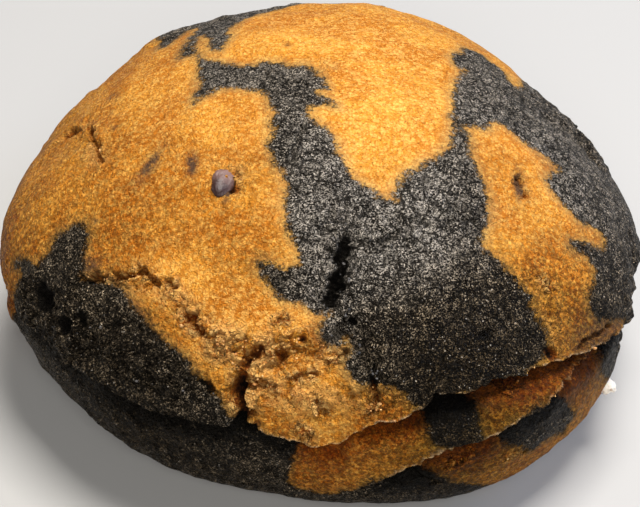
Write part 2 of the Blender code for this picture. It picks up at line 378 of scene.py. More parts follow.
@dataclass
class CrustRelief:
    """All the relief of the baked crust: lips, bellies, bulges, pits, cracks and torn crumb."""

    body: CookieBody
    upper: Lip = Lip(
        edge={
            -48: 89.0, -33: 88.5, -22: 88.0, -18: 86.0, -14: 84.0, -6: 87.0, -1: 88.5, 3: 87.5, 5: 83.0,
            9: 80.0, 15: 79.0, 20: 73.5, 33: 73.0, 40: 74.5, 50: 79.0, 58: 82.5, 68: 88.0, 80: 90.0,
            100: 86.0, 140: 84.0, 180: 87.0, 220: 85.0, 265: 88.0, 290: 90.0,
        },
        overhang=1.3 * MM, crevice=3.2 * MM, centre=25.0, spread=70.0, least=0.35,
    )
    lower: Lip = Lip(
        edge={0: 108.0, 7: 102.0, 13: 95.5, 21: 90.5, 27: 89.5, 32: 86.0, 40: 83.5, 57: 82.5, 70: 90.0},
        overhang=1.25 * MM, crevice=2.6 * MM, centre=33.0, spread=60.0, least=0.0, edge_width=0.45 * MM,
    )
    swells: tuple[Ripple, ...] = (
        Ripple(0.55 * MM, 14.0 * MM, 20.0),
        Ripple(0.28 * MM, 5.0 * MM, 21.0),
        Ripple(0.12 * MM, 2.2 * MM, 22.0),
    )
    ragged_edge: tuple[Ripple, ...] = (
        Ripple(1.0, 5.0 * MM, 3.1), Ripple(0.5, 1.8 * MM, 8.4), Ripple(0.45, 0.9 * MM, 5.7),
    )
    fray: tuple[Ripple, ...] = (Ripple(0.42 * MM, 0.9 * MM, 41.0), Ripple(0.26 * MM, 0.42 * MM, 43.0))
    gape: tuple[Ripple, ...] = (Ripple(1.5, 2.2 * MM, 45.0),)
    gape_span: tuple[float, float] = (0.25, 1.9)
    zone_edge: tuple[Ripple, ...] = (Ripple(0.9 * MM, 3.2 * MM, 51.0),)
    spot_edge: tuple[Ripple, ...] = (Ripple(0.55, 1.5 * MM, 55.0),)
    flake_lumps: tuple[Ripple, ...] = (
        Ripple(0.75, 2.6 * MM, 61.0), Ripple(0.42, 1.2 * MM, 67.0), Ripple(0.30, 0.55 * MM, 63.0),
    )
    patchy: tuple[Ripple, ...] = (Ripple(0.10, 5.0 * MM, 91.0),)
    bellies: tuple[tuple[float, float], ...] = ((-38.0, 0.9), (-12.0, -0.4), (8.0, 0.7), (32.0, 0.8))
    belly_spread: float = 15.0
    belly_end: tuple[float, float] = (108.0, 14.0)
    # Middle and width of a pale line along each lip's edge: painted highlight where the edge catches the
    # light.
    rim: tuple[float, float] = (0.25 * MM, 0.55 * MM)
    split_shade: float = 0.34
    small_spot: float = 6.0
    edge_tear: tuple[float, float] = (-0.5 * MM, 1.6 * MM)
    fold_tear: tuple[float, float] = (-0.4 * MM, 1.3 * MM)
    upper_shade: float = 5.0 * MM
    lower_shade: float = 5.4 * MM
    crack_shade: float = 2.4 * MM
    pit_shade: float = 0.9 * MM
    clods_end: tuple[float, float] = (86.0, 14.0)
    crumbled_from: float = 0.04
    raggedness: float = 1.1 * MM
    base_fade: float = 9.0
    flake_step: float = 0.42 * MM
    flake_height: float = 1.9 * MM
    clods: tuple[tuple[float, float], ...] = ((0.40 * MM, 2.7 * MM), (0.19 * MM, 1.25 * MM))
    clods_low: float = 0.34
    lump_width: float = 2.7 * MM
    lump_height: float = 0.42 * MM
    fissure_depth: float = 0.85 * MM
    fissure_width: float = 0.16
    shaded_below: float = 0.12
    shaded_under: float = 0.80
    calm_side: tuple[float, float, float] = (95.0, 42.0, 0.62)
    wet_points: tuple[CrustPoint, ...] = ((19.8, -31.5), (17.2, -25.2), (3.2, -33.2))
    wet_reach: float = 1.3 * MM
    # Polar angles in degrees over which the crust darkens: browning, with painted shade down the side where
    # less light falls.
    browning: tuple[float, float] = (10.0, 84.0)
    left_lean: float = 2.0
    front_lean: float = 7.0
    cracks: dict[str, Crack] = field(default_factory=lambda: dict(LARGE_CRACKS, **FINE_CRACKS))
    spots: dict[str, Spot] = field(default_factory=lambda: dict(BULGES, **PITS))
    zones: dict[str, CrumbleZone] = field(default_factory=lambda: CRUMBLE_ZONES)
    browning_and_shade_areas: dict[str, BrowningAndShade] = field(default_factory=lambda: BROWNING_AND_SHADE_AREAS)

    def ragged(self, positions: np.ndarray) -> np.ndarray:
        """How far the lips' edges wander up and down."""
        return self.raggedness * ripples(positions, self.ragged_edge)

    def lip_distances(
        self, positions: np.ndarray, azimuth: np.ndarray, polar: np.ndarray
    ) -> tuple[np.ndarray, np.ndarray]:
        """Measure how far each point is from the two lips.

        Args:
            positions: Points of the smooth body, one to a row.
            azimuth: Their azimuths in radians.
            polar: Their polar angles in radians.

        Returns:
            Signed distances from the upper and from the lower lip, in metres.
        """
        ragged = self.ragged(positions)
        skin = self.body.skin_per_degree
        upper, lower = (lip.above(azimuth, polar, skin) + ragged for lip in (self.upper, self.lower))
        return upper, lower

    def lower_strength(self, azimuth: np.ndarray) -> np.ndarray:
        """The lower fold shows from the front round to the right side, and fades at both ends."""
        degrees = np.degrees(azimuth)
        return smooth_step((degrees - 2.0) / 14.0) * smooth_step((66.0 - degrees) / 16.0)

    def crack_depths(self, positions: np.ndarray) -> tuple[np.ndarray, np.ndarray, np.ndarray]:
        """Measure every crack.

        Args:
            positions: Points of the smooth body.

        Returns:
            Height of the cracks (below zero), how torn the crumb is, and the distance to the nearest crack.
        """
        height = np.zeros(len(positions))
        torn = np.zeros(len(positions))
        nearest = np.full(len(positions), np.inf)
        fray = ripples(positions, self.fray)
        gape = np.clip(1.0 + ripples(positions, self.gape), *self.gape_span)
        for seed, crack in enumerate(self.cracks.values()):
            gap, along = distance_to_path(positions, crack.path(self.body, seed), 6.0 * MM)
            taper = smooth_step(along * 5.0 + 0.35) * smooth_step((1.0 - along) * 5.0 + 0.35)
            half = 0.55 * crack.width * MM * (0.35 + 0.65 * taper) * gape
            wall = 1.0 - smooth_step((gap + fray * min(1.0, crack.width)) / half)
            height = np.minimum(height, -crack.depth * MM * taper * wall * np.clip(gape, 0.5, 1.25))
            torn = np.maximum(torn, crack.torn * taper * (1.0 - smooth_step((gap - 0.4 * half) / (1.5 * MM))))
            nearest = np.minimum(nearest, gap / max(crack.width, 0.7))
        return height, torn, nearest

    def crumble(self, positions: np.ndarray) -> np.ndarray:
        """Find how far the crust has broken up.

        Args:
            positions: Points of the smooth body, one to a row.

        Returns:
            One share to a point, from 0 to 1.
        """
        share = np.zeros(len(positions))
        wander = ripples(positions, self.zone_edge)
        for zone in self.zones.values():
            gap, _ = distance_to_path(positions, self.body.at(zone.points), 2.0 * zone.reach * MM)
            share = np.maximum(share, zone.strength * (1.0 - smooth_step((gap + wander) / (zone.reach * MM))))
        return share

    def flakes(self, positions: np.ndarray) -> np.ndarray:
        """Shape broken crumb: lumps cut into small ledges, one above the other.

        Args:
            positions: Points of the smooth body, one to a row.

        Returns:
            Heights in metres.
        """
        level = ripples(positions, self.flake_lumps) * self.flake_height / self.flake_step
        ledge = np.floor(level)
        return self.flake_step * (ledge + smooth_step((level - ledge - 0.5) * 2.4 + 0.5) - 0.4)

    def clod_relief(self, positions: np.ndarray) -> tuple[np.ndarray, np.ndarray]:
        """Round clods of dough with sharp valleys between them.

        Args:
            positions: Points of the smooth body.

        Returns:
            Height in metres, and painted shade in the valleys between the clods, from 0 to 1.
        """
        height = np.zeros(len(positions))
        valley_shade = np.zeros(len(positions))
        for layer, (high, width) in enumerate(self.clods):
            ridge = np.abs(noise_field(positions, width, 81.0 + 4.0 * layer))
            height += high * (ridge - 0.2)
            # Painted shade: 1 at the floors of the valleys, easing to 0.
            valley_shade = np.maximum(valley_shade, 1.0 - smooth_step(ridge / 0.055))
        return height, valley_shade

    def broken_lumps(self, positions: np.ndarray, broken: np.ndarray) -> tuple[np.ndarray, np.ndarray]:
        """Separate lumps of broken crumb with fissures between them.

        Args:
            positions: Points of the smooth body, one to a row.
            broken: Whether each point lies in broken crumb.

        Returns:
            Height of each point's lump from about -1 to 1, and how near a fissure it lies, from 0 to 1.
        """
        height, fissure = np.zeros(len(positions)), np.zeros(len(positions))
        some = np.flatnonzero(broken)
        shake = [noise_field(positions[some], 0.6 * self.lump_width, at) for at in (31.0, 33.0, 37.0)]
        shake += [0.5 * noise_field(positions[some], 0.22 * self.lump_width, at) for at in (47.0, 49.0, 53.0)]
        drift = np.stack([slow + quick for slow, quick in zip(shake[:3], shake[3:])], axis=-1)
        moved = positions[some] / self.lump_width + 0.42 * drift
        for index, place in zip(some, moved):
            gaps, centres = noise.voronoi(Vector(place))
            height[index] = 1.8 * noise.noise(centres[0] * 5.1)
            fissure[index] = 1.0 - (gaps[1] - gaps[0]) / self.fissure_width
        return height, smooth_step(fissure)

    def spot_heights(self, positions: np.ndarray, within: float = math.inf) -> np.ndarray:
        """Shape the round bulges and pits.

        Args:
            positions: Points of the smooth body, one to a row.
            within: Leaves out the ones that are this many millimetres across or more.

        Returns:
            Heights in metres, below zero in a pit.
        """
        height = np.zeros(len(positions))
        uneven = 1.0 + ripples(positions, self.spot_edge)
        for spot in (one for one in self.spots.values() if one.across < within):
            gap = uneven * np.linalg.norm(positions - self.body.at([spot.point])[0], axis=1)
            height += spot.height * MM * (1.0 - smooth_step(gap / (0.6 * spot.across * MM)))
        return height

    def browning_and_shade_share(self, positions: np.ndarray, azimuth: np.ndarray, polar: np.ndarray) -> np.ndarray:
        """How far the crust is darkened: browning, with painted shade down the side where less light falls.

        Args:
            positions: Points of the smooth body, one to a row.
            azimuth: Their azimuths in radians.
            polar: Their polar angles in radians.

        Returns:
            One share to a point, from 0 at the crown to 1 low on the side, and up to 2 where painted shade
            darkens it most.
        """
        lean = self.left_lean * np.maximum(-np.sin(azimuth), 0.0) + self.front_lean * np.cos(azimuth)
        share = (np.degrees(polar) + lean - self.browning[0]) / (self.browning[1] - self.browning[0])
        share = np.clip(share, 0.0, 1.0)
        # Broad areas add browning and painted shade; those below zero lighten the crust, some as painted
        # highlights.
        for browning_and_shade in self.browning_and_shade_areas.values():
            gap = np.linalg.norm(positions - self.body.at([browning_and_shade.point])[0], axis=1)
            share = share + browning_and_shade.share * np.exp(-((gap / (browning_and_shade.reach * MM)) ** 2))
        return np.clip(share + ripples(positions, self.patchy), 0.0, 2.0)

    def ground(self, positions: np.ndarray, azimuth: np.ndarray, polar: np.ndarray) -> Ground:
        """Find where each point lies against the two lips.

        Args:
            positions: Points of the smooth body, one to a row.
            azimuth: Their azimuths in radians.
            polar: Their polar angles in radians.

        Returns:
            What the relief is measured over.
        """
        upper, lower = self.lip_distances(positions, azimuth, polar)
        lift = self.upper.strength(azimuth)
        fold = self.lower_strength(azimuth) * smooth_step(-upper / self.upper.crevice_reach)
        return Ground(positions, np.degrees(azimuth), np.degrees(polar), upper, lower, lift, fold)

    def large_relief(self, ground: Ground) -> np.ndarray:
        """Shape the lips, the bellies under them and the slow swells.

        Args:
            ground: Where each point lies.

        Returns:
            Heights in metres.
        """
        height = ground.lift * self.upper.relief(ground.upper) + ground.fold * self.lower.relief(ground.lower)
        turned = [((ground.azimuth - at) / self.belly_spread, high) for at, high in self.bellies]
        belly = sum(high * MM * np.exp(-(turn**2)) for turn, high in turned)
        height += belly * smooth_step(-ground.upper / (2.0 * self.upper.crevice_reach))
        return height + ripples(ground.positions, self.swells)

    def torn_share(self, ground: Ground, cracked: np.ndarray, crumbled: np.ndarray) -> np.ndarray:
        """Find where the crumb is laid bare: at cracks, along the lips and in crumbled crust.

        Args:
            ground: Where each point lies.
            cracked: How torn the cracks leave it, from 0 to 1.
            crumbled: How far the crust has broken up, from 0 to 1.

        Returns:
            One share to a point, from 0 to 1.
        """
        edge = ground.lift * close_to(ground.upper, *self.edge_tear)
        fold = 0.8 * ground.fold * close_to(ground.lower, *self.fold_tear)
        return np.clip(np.maximum.reduce([cracked, edge, fold, crumbled]), 0.0, 1.0)

    def broken_share(self, ground: Ground, torn: np.ndarray, crumbled: np.ndarray) -> np.ndarray:
        """Find where the crumb lies in ledges: in torn and crumbled crust, and on the bellies.

        Args:
            ground: Where each point lies.
            torn: Where the crumb is laid bare, from 0 to 1.
            crumbled: How far the crust has broken up, from 0 to 1.

        Returns:
            One share to a point, from 0 to 1.
        """
        end, fade = self.belly_end
        belly = smooth_step(-ground.upper / (1.2 * MM)) * (1.0 - smooth_step((ground.polar - end) / fade))
        belly *= 0.12 + 0.22 * smooth_step((12.0 - ground.azimuth) / 24.0)
        return np.clip(np.maximum.reduce([0.7 * crumbled, 0.45 * torn, ground.lift * belly]), 0.0, 1.0)

    def clod_share(self, ground: Ground, dark: np.ndarray, torn: np.ndarray) -> np.ndarray:
        """Find how strongly the clods stand out: on dark and torn dough, less low down and on the calm side.

        Args:
            ground: Where each point lies.
            dark: Share of dark dough, from 0 to 1.
            torn: Where the crumb is laid bare, from 0 to 1.

        Returns:
            One share to a point, from 0 to 1.
        """
        over_lip = smooth_step((ground.upper + 1.0 * MM) / (2.0 * MM))
        end, fade = self.clods_end
        low = np.minimum(over_lip, smooth_step((end - ground.polar) / fade))
        at, spread, calmed = self.calm_side
        calm = 1.0 - calmed * np.exp(-(((ground.azimuth - at) / spread) ** 2))
        return calm * np.maximum(dark, torn) * (self.clods_low + (1.0 - self.clods_low) * low)

    def under_edge(self, lip: Lip, above: np.ndarray, reach: float) -> np.ndarray:
        """Shade under a lip's edge, from 0 to 1, which fades over a reach in metres."""
        side = 1.0 - smooth_step(above / lip.edge_width + 0.5)
        return self.shaded_under * side * np.exp(-((np.maximum(-above, 0.0) / reach) ** 2))

    def cavity_shade_share(self, ground: Ground, crack: np.ndarray, split: np.ndarray) -> np.ndarray:
        """Find how much painted shade each point takes: how deep it lies in a crack, a pit or a fissure of the
        crumb, and under a lip.

        Args:
            ground: Where each point lies.
            crack: Height of the cracks in metres, below zero.
            split: Painted shade in the fissures of the crumb, from 0 to 1.

        Returns:
            One share of painted shade to a point, from 0 to 1.
        """
        under_lip = ground.lift * self.under_edge(self.upper, ground.upper, self.upper_shade)
        under_fold = ground.fold * self.under_edge(self.lower, ground.lower, self.lower_shade)
        pits = -self.spot_heights(ground.positions, self.small_spot) / self.pit_shade
        deep = [-crack / self.crack_shade, under_lip, under_fold, pits, split]
        return np.clip(np.maximum.reduce(deep), 0.0, 1.0)

    def wet_share(self, positions: np.ndarray) -> np.ndarray:
        """Find how wet the crust is.

        Args:
            positions: Points of the smooth body, one to a row.

        Returns:
            One share to a point, from 0 to 1.
        """
        wet = np.zeros(len(positions))
        for point in self.wet_points:
            gap = np.linalg.norm(positions - self.body.at([point])[0], axis=1)
            wet = np.maximum(wet, np.exp(-((gap / self.wet_reach) ** 2)))
        return wet

    def measure(
        self, positions: np.ndarray, azimuth: np.ndarray, polar: np.ndarray, dark: np.ndarray
    ) -> dict[str, np.ndarray]:
        """Measure the relief and what it lays bare.

        Args:
            positions: Points of the smooth body, one to a row.
            azimuth: Their azimuths in radians.
            polar: Their polar angles in radians.
            dark: Share of dark dough, from 0 to 1.

        Returns:
            Named arrays: height in metres, baked (browning with painted shade) from 0 to 2, and the rest from
                0 to 1.
        """
        ground = self.ground(positions, azimuth, polar)
        crack, cracked, _ = self.crack_depths(positions)
        crumbled = self.crumble(positions)
        torn = self.torn_share(ground, cracked, crumbled)
        clods, valley_shade = self.clod_relief(positions)
        lumps, fissure = self.broken_lumps(positions, crumbled > self.crumbled_from)

        height = self.large_relief(ground) + crack + self.spot_heights(positions)
        height += self.broken_share(ground, torn, crumbled) * self.flakes(positions)
        height += self.clod_share(ground, dark, torn) * clods
        height += crumbled * (self.lump_height * lumps - self.fissure_depth * fissure)

        # A pale line along each lip's edge: painted highlight.
        edge_highlights = [
            ground.lift * close_to(ground.upper, *self.rim),
            ground.fold * close_to(ground.lower, *self.rim),
        ]
        # Painted shade in cracks, pits and fissures and under the lips.
        cavity_shade = self.cavity_shade_share(ground, crack, self.split_shade * crumbled * fissure)
        fade = smooth_step((self.body.base_rim - 1.0 - ground.polar) / self.base_fade)
        # Painted shade below the upper lip, added to baked.
        below = self.shaded_below * ground.lift * smooth_step(-ground.upper / (2.0 * MM))
        return {
            "height": height * fade, "cavity_shade": cavity_shade * fade, "torn": torn * fade, "valley_shade": valley_shade,
            "baked": self.browning_and_shade_share(positions, azimuth, polar) + below, "wet": self.wet_share(positions),
            "rim": np.maximum(*edge_highlights), "lump": np.clip(0.5 + 0.5 * lumps, 0.0, 1.0),
        }

    def detail(self, positions: np.ndarray, azimuth: np.ndarray, polar: np.ndarray) -> np.ndarray:
        """Find how near the sharp features are, because the mesh is finer there.

        Args:
            positions: Points of the smooth body, one to a row.
            azimuth: Their azimuths in radians.
            polar: Their polar angles in radians.

        Returns:
            Distances to the nearest sharp feature, in crack widths.
        """
        upper, lower = self.lip_distances(positions, azimuth, polar)
        _, _, nearest = self.crack_depths(positions)
        crumbled = self.crumble(positions)
        nearest = np.where(crumbled > 0.3, np.minimum(nearest, 1.5 * MM), nearest)
        nearest = np.where(crumbled > 0.6, np.minimum(nearest, 0.7 * MM), nearest)
        below = (upper < 0.0) & (np.degrees(polar) < 118.0) & (self.upper.strength(azimuth) > 0.5)
        nearest = np.where(below, np.minimum(nearest, 1.6 * MM), nearest)
        upper_gap = np.where(self.upper.strength(azimuth) > 0.5, np.abs(upper), np.inf)
        lower_gap = np.where(self.lower_strength(azimuth) > 0.3, np.abs(lower), np.inf)
        return np.minimum.reduce([nearest, upper_gap, lower_gap]) / MM


LARGE_CRACKS = {
    "front_split": Crack(3.1, 3.0, ((-10.6, -39.6), (-11.6, -44.2), (-12.4, -48.5), (-12.9, -53.0))),
    "left_tear": Crack(0.95, 1.1, ((-31.8, -21.8), (-26.9, -23.6), (-22.0, -23.7), (-20.5, -26.6))),
    "left_slit": Crack(1.3, 1.2, ((-17.9, -29.7), (-16.6, -32.4), (-15.6, -34.2))),
    "front_tear": Crack(1.8, 1.9, ((-11.2, -38.9), (-8.5, -38.0), (-4.2, -37.3))),
    "front_crease": Crack(0.8, 0.8, ((-4.7, -41.6), (-2.0, -40.7), (-0.1, -40.4))),
    "front_nick": Crack(0.9, 0.9, ((0.6, -38.5), (3.1, -37.6), (3.9, -36.5))),
    "dark_crack": Crack(2.1, 1.9, ((3.1, -21.1), (3.4, -22.7), (2.3, -24.3), (3.1, -25.9), (1.0, -31.4)), 0.4),
    "lip_crack": Crack(0.9, 1.2, ((7.0, -37.5), (7.0, -41.0), (7.7, -43.5), (7.5, -47.0))),
    "lobe_crack": Crack(0.6, 0.6, ((-0.6, -44.3), (-0.1, -45.9), (0.7, -47.8))),
    "right_tear": Crack(0.8, 0.9, ((25.8, -21.6), (26.9, -23.0), (28.0, -23.8))),
    "right_fold": Crack(1.2, 1.2, ((24.2, -39.7), (26.9, -37.3), (28.5, -35.1))),
    "shoulder_dent": Crack(3.4, 1.9, ((-36.2, 5.0), (-33.6, 5.1), (-30.8, 4.2)), 0.5),
    "shoulder_crack": Crack(1.2, 1.0, ((-30.8, 4.2), (-29.2, 2.9), (-28.3, 0.8), (-25.4, -5.8)), 0.6),
    "right_slot": Crack(1.6, 1.4, ((23.4, -8.4), (23.2, -10.0), (23.8, -11.8)), 0.3),
    "back_tear": Crack(1.4, 1.3, ((8.0, 36.0), (14.0, 38.0), (19.0, 36.0), (25.0, 38.5))),
    "back_slit": Crack(1.2, 1.2, ((-24.0, 33.0), (-20.0, 38.0), (-21.0, 43.0))),
    "side_slit": Crack(1.2, 1.2, ((42.0, 6.0), (40.0, 12.0), (43.0, 17.0)), 0.4),
}
FINE_CRACKS = {
    "tear_end": Crack(1.1, 0.9, ((-19.6, -25.8), (-18.7, -26.6), (-17.7, -27.0))),
    "slit_tail": Crack(0.7, 0.6, ((-15.6, -34.2), (-14.7, -34.0), (-12.8, -33.9))),
    "tear_arc": Crack(0.7, 0.5, ((-12.1, -37.2), (-10.8, -36.9), (-9.3, -37.6))),
    "front_pits": Crack(0.9, 0.7, ((-5.8, -33.8), (-5.0, -33.0), (-3.6, -32.6))),
    "crown_line": Crack(0.5, 0.25, ((0.3, 5.9), (1.6, 5.7), (3.4, 6.0)), 0.2),
    "crease_left": Crack(0.8, 0.6, ((-6.1, -42.3), (-7.2, -43.4))),
    "lobe_left": Crack(0.9, 0.8, ((-4.2, -49.7), (-2.6, -50.8), (-1.5, -52.2))),
    "dark_branch": Crack(0.9, 0.6, ((3.6, -22.4), (5.0, -22.2), (8.0, -21.0), (9.4, -19.6)), 0.2),
    "dark_upper": Crack(0.9, 0.6, ((-1.2, -6.0), (-2.2, -8.1), (-2.4, -9.8), (-3.0, -12.0)), 0.2),
    "left_thin": Crack(0.7, 0.6, ((-34.5, -24.0), (-33.2, -23.4), (-32.0, -23.3)), 0.3),
    "left_arc": Crack(0.9, 0.8, ((-36.6, -30.8), (-37.2, -32.9), (-39.6, -34.1), (-41.8, -34.3)), 0.3),
    "shoulder_end": Crack(1.0, 0.8, ((-26.7, -3.3), (-26.0, -4.6), (-25.2, -5.9)), 0.5),
    "band_crease": Crack(0.9, 0.6, ((23.9, -50.3), (24.2, -53.2), (20.7, -54.9))),
    "band_line": Crack(0.8, 0.6, ((35.0, -49.2), (31.0, -51.4))),
    "fold_line_high": Crack(0.8, 1.0, ((33.5, -37.2), (38.5, -33.0), (42.6, -28.6)), 0.5),
    "fold_line_low": Crack(0.9, 1.1, ((35.4, -35.2), (38.7, -31.1), (42.0, -27.3)), 0.5),
    "skin_line_high": Crack(0.7, 0.8, ((34.0, -31.2), (37.0, -28.8), (40.5, -25.9)), 0.3),
    "chip_slit": Crack(0.55, 0.6, ((-9.3, -11.3), (-10.2, -12.8), (-10.3, -15.4)), 0.3),
    "split_branch": Crack(1.2, 1.2, ((-10.4, -40.8), (-8.8, -41.6), (-8.0, -43.2))),
    "dough_join": Crack(1.1, 0.9, ((-14.0, -46.0), (-15.6, -43.4), (-17.0, -40.2)), 0.5),
    "under_line": Crack(1.0, 0.8, ((13.0, -56.0), (17.0, -58.0), (22.0, -58.6)), 0.5),
}
CRUMBLE_ZONES = {
    "front": CrumbleZone(4.2, 0.90, ((-13.0, -35.5), (-9.0, -37.5), (-2.0, -36.5), (3.5, -35.5))),
    "slit": CrumbleZone(3.0, 0.50, ((-19.5, -27.0), (-17.5, -30.0), (-14.0, -33.5))),
    "lobe": CrumbleZone(4.0, 0.42, ((-8.0, -42.5), (-2.0, -45.0), (4.0, -43.5), (9.0, -43.0))),
    "split": CrumbleZone(3.4, 0.9, ((-11.0, -40.0), (-12.0, -47.0))),
    "left_tear": CrumbleZone(2.6, 0.6, ((-31.5, -22.0), (-26.5, -24.0), (-21.0, -25.0))),
    "dark_middle": CrumbleZone(4.2, 0.75, ((2.5, -20.0), (3.0, -24.0), (2.0, -30.0), (5.0, -36.0))),
    "dark_ridge": CrumbleZone(5.0, 0.45, ((5.0, -21.0), (11.0, -19.0), (17.0, -15.0))),
    "dark_left": CrumbleZone(7.0, 0.6, ((-44.0, -22.0), (-38.0, -28.0), (-30.0, -32.0), (-22.0, -42.0))),
    "island": CrumbleZone(2.6, 0.36, ((24.5, -23.0), (28.0, -25.0), (29.5, -32.0))),
    "shoulder": CrumbleZone(2.8, 0.4, ((-36.0, 5.5), (-31.0, 4.0), (-26.0, -5.0))),
    "chip_crumb": CrumbleZone(1.5, 0.55, ((-9.2, -12.9), (-9.5, -15.2))),
    "back": CrumbleZone(4.2, 0.7, ((7.0, 36.0), (14.0, 38.0), (25.0, 38.5))),
    "back_left": CrumbleZone(3.2, 0.6, ((-24.0, 33.0), (-20.0, 38.0), (-21.0, 44.0))),
    "side": CrumbleZone(3.2, 0.5, ((42.0, 5.0), (40.0, 12.0), (43.0, 18.0))),
}
PITS = {
    "left_pit": Spot(4.6, -1.7, (-40.0, -22.5)),
    "left_hollow": Spot(2.8, -1.2, (-37.6, -28.0)),
    "left_dimple": Spot(2.2, -1.0, (-33.4, -27.8)),
    "lip_hole": Spot(1.9, -1.5, (29.8, -32.8)),
    "chip_bed": Spot(2.2, -0.8, (-10.0, -14.6)),
    "back_pit": Spot(3.2, -1.3, (-5.0, 45.0)),
    "right_pinch": Spot(15.0, -1.7, (53.9, -17.5)),
    "pin_hole": Spot(1.3, -0.9, (-2.1, -35.4)),
    "dark_hole": Spot(1.4, -0.9, (4.2, -32.5)),
    "glossy_dent": Spot(2.6, -0.7, (19.8, -31.5)),
    "crown_pore": Spot(1.2, -0.4, (-3.3, 11.0)),
}
# Broad areas of browning with painted shade: darker low on the sides, under the lobe and on the band under the
# fold. A share below zero lightens an area: the front crumb is browned less, and the dark dough's middle and
# right flank take painted highlights.
BROWNING_AND_SHADE_AREAS = {
    "left_cheek": BrowningAndShade(13.0, 0.18, (-21.5, -6.5)),
    "left_front": BrowningAndShade(6.5, 0.20, (-19.0, -18.5)),
    "fruit_side": BrowningAndShade(6.0, 0.34, (-6.5, -13.5)),
    "left_crumb": BrowningAndShade(6.0, -0.60, (-21.0, -26.0)),
    "front_crumb": BrowningAndShade(9.0, -0.72, (-14.5, -32.0)),
    "front_lobe": BrowningAndShade(12.5, -0.95, (-3.5, -45.0)),
    "tongue_side": BrowningAndShade(7.0, 0.55, (-8.0, -25.5)),
    "left_strip": BrowningAndShade(4.5, 0.60, (-22.0, -31.5)),
    "split_strip": BrowningAndShade(4.5, 0.30, (-15.0, -40.0)),
    "crown_point": BrowningAndShade(5.5, 0.42, (7.0, -12.0)),
    "island_top": BrowningAndShade(6.0, 0.30, (20.5, -8.5)),
    "island_low": BrowningAndShade(6.0, 0.22, (27.0, -22.0)),
    # Painted highlight where the light glances off the dark dough's middle.
    "dark_middle": BrowningAndShade(12.0, -0.75, (7.0, -20.0)),
    "dark_tongue": BrowningAndShade(9.0, 0.42, (-3.0, 3.0)),
    # Painted sheen on the dark dough's right flank.
    "dark_flank": BrowningAndShade(12.0, -0.35, (32.0, -5.0)),
    "right_low": BrowningAndShade(8.0, 0.22, (31.5, -27.5)),
    "right_skin": BrowningAndShade(6.5, 0.75, (39.5, -29.5)),
    "dark_low_right": BrowningAndShade(10.0, 0.80, (20.0, -33.0)),
    "dark_low": BrowningAndShade(9.0, 0.70, (9.0, -37.0)),
    "left_low": BrowningAndShade(18.0, 0.65, (-32.0, -45.0)),
    # Painted shadow under the lobe.
    "under_lobe": BrowningAndShade(5.0, 0.60, (-5.5, -52.0)),
    "band_low": BrowningAndShade(10.0, 0.70, (22.0, -54.5)),
}
BULGES = {
    "back_right": Spot(15.0, 0.9, (41.2, 13.4)),
    "back_left": Spot(11.0, 0.9, (-23.0, 28.4)),
    "left_hip": Spot(9.0, 1.0, (-55.1, -15.8)),
    "left_shoulder": Spot(12.0, 0.6, (-39.6, 16.0)),
    "chip_bump": Spot(3.0, 0.8, (-11.7, -13.6)),
}


# ---------------------------------------------------------------- marbling


@dataclass(frozen=True)
class Patch:
    """A patch of one dough over what lies under it, with its outline as crust points."""

    dough: Dough
    outline: tuple[CrustPoint, ...]


@dataclass(frozen=True)
class Smudge:
    """A faint dark mark on the gold dough, used for smears and for painted shade: length and width in
    millimetres, turn in degrees, crust point, and how dark.
    """

    length: float
    width: float
    turn: float
    point: CrustPoint
    darkness: float


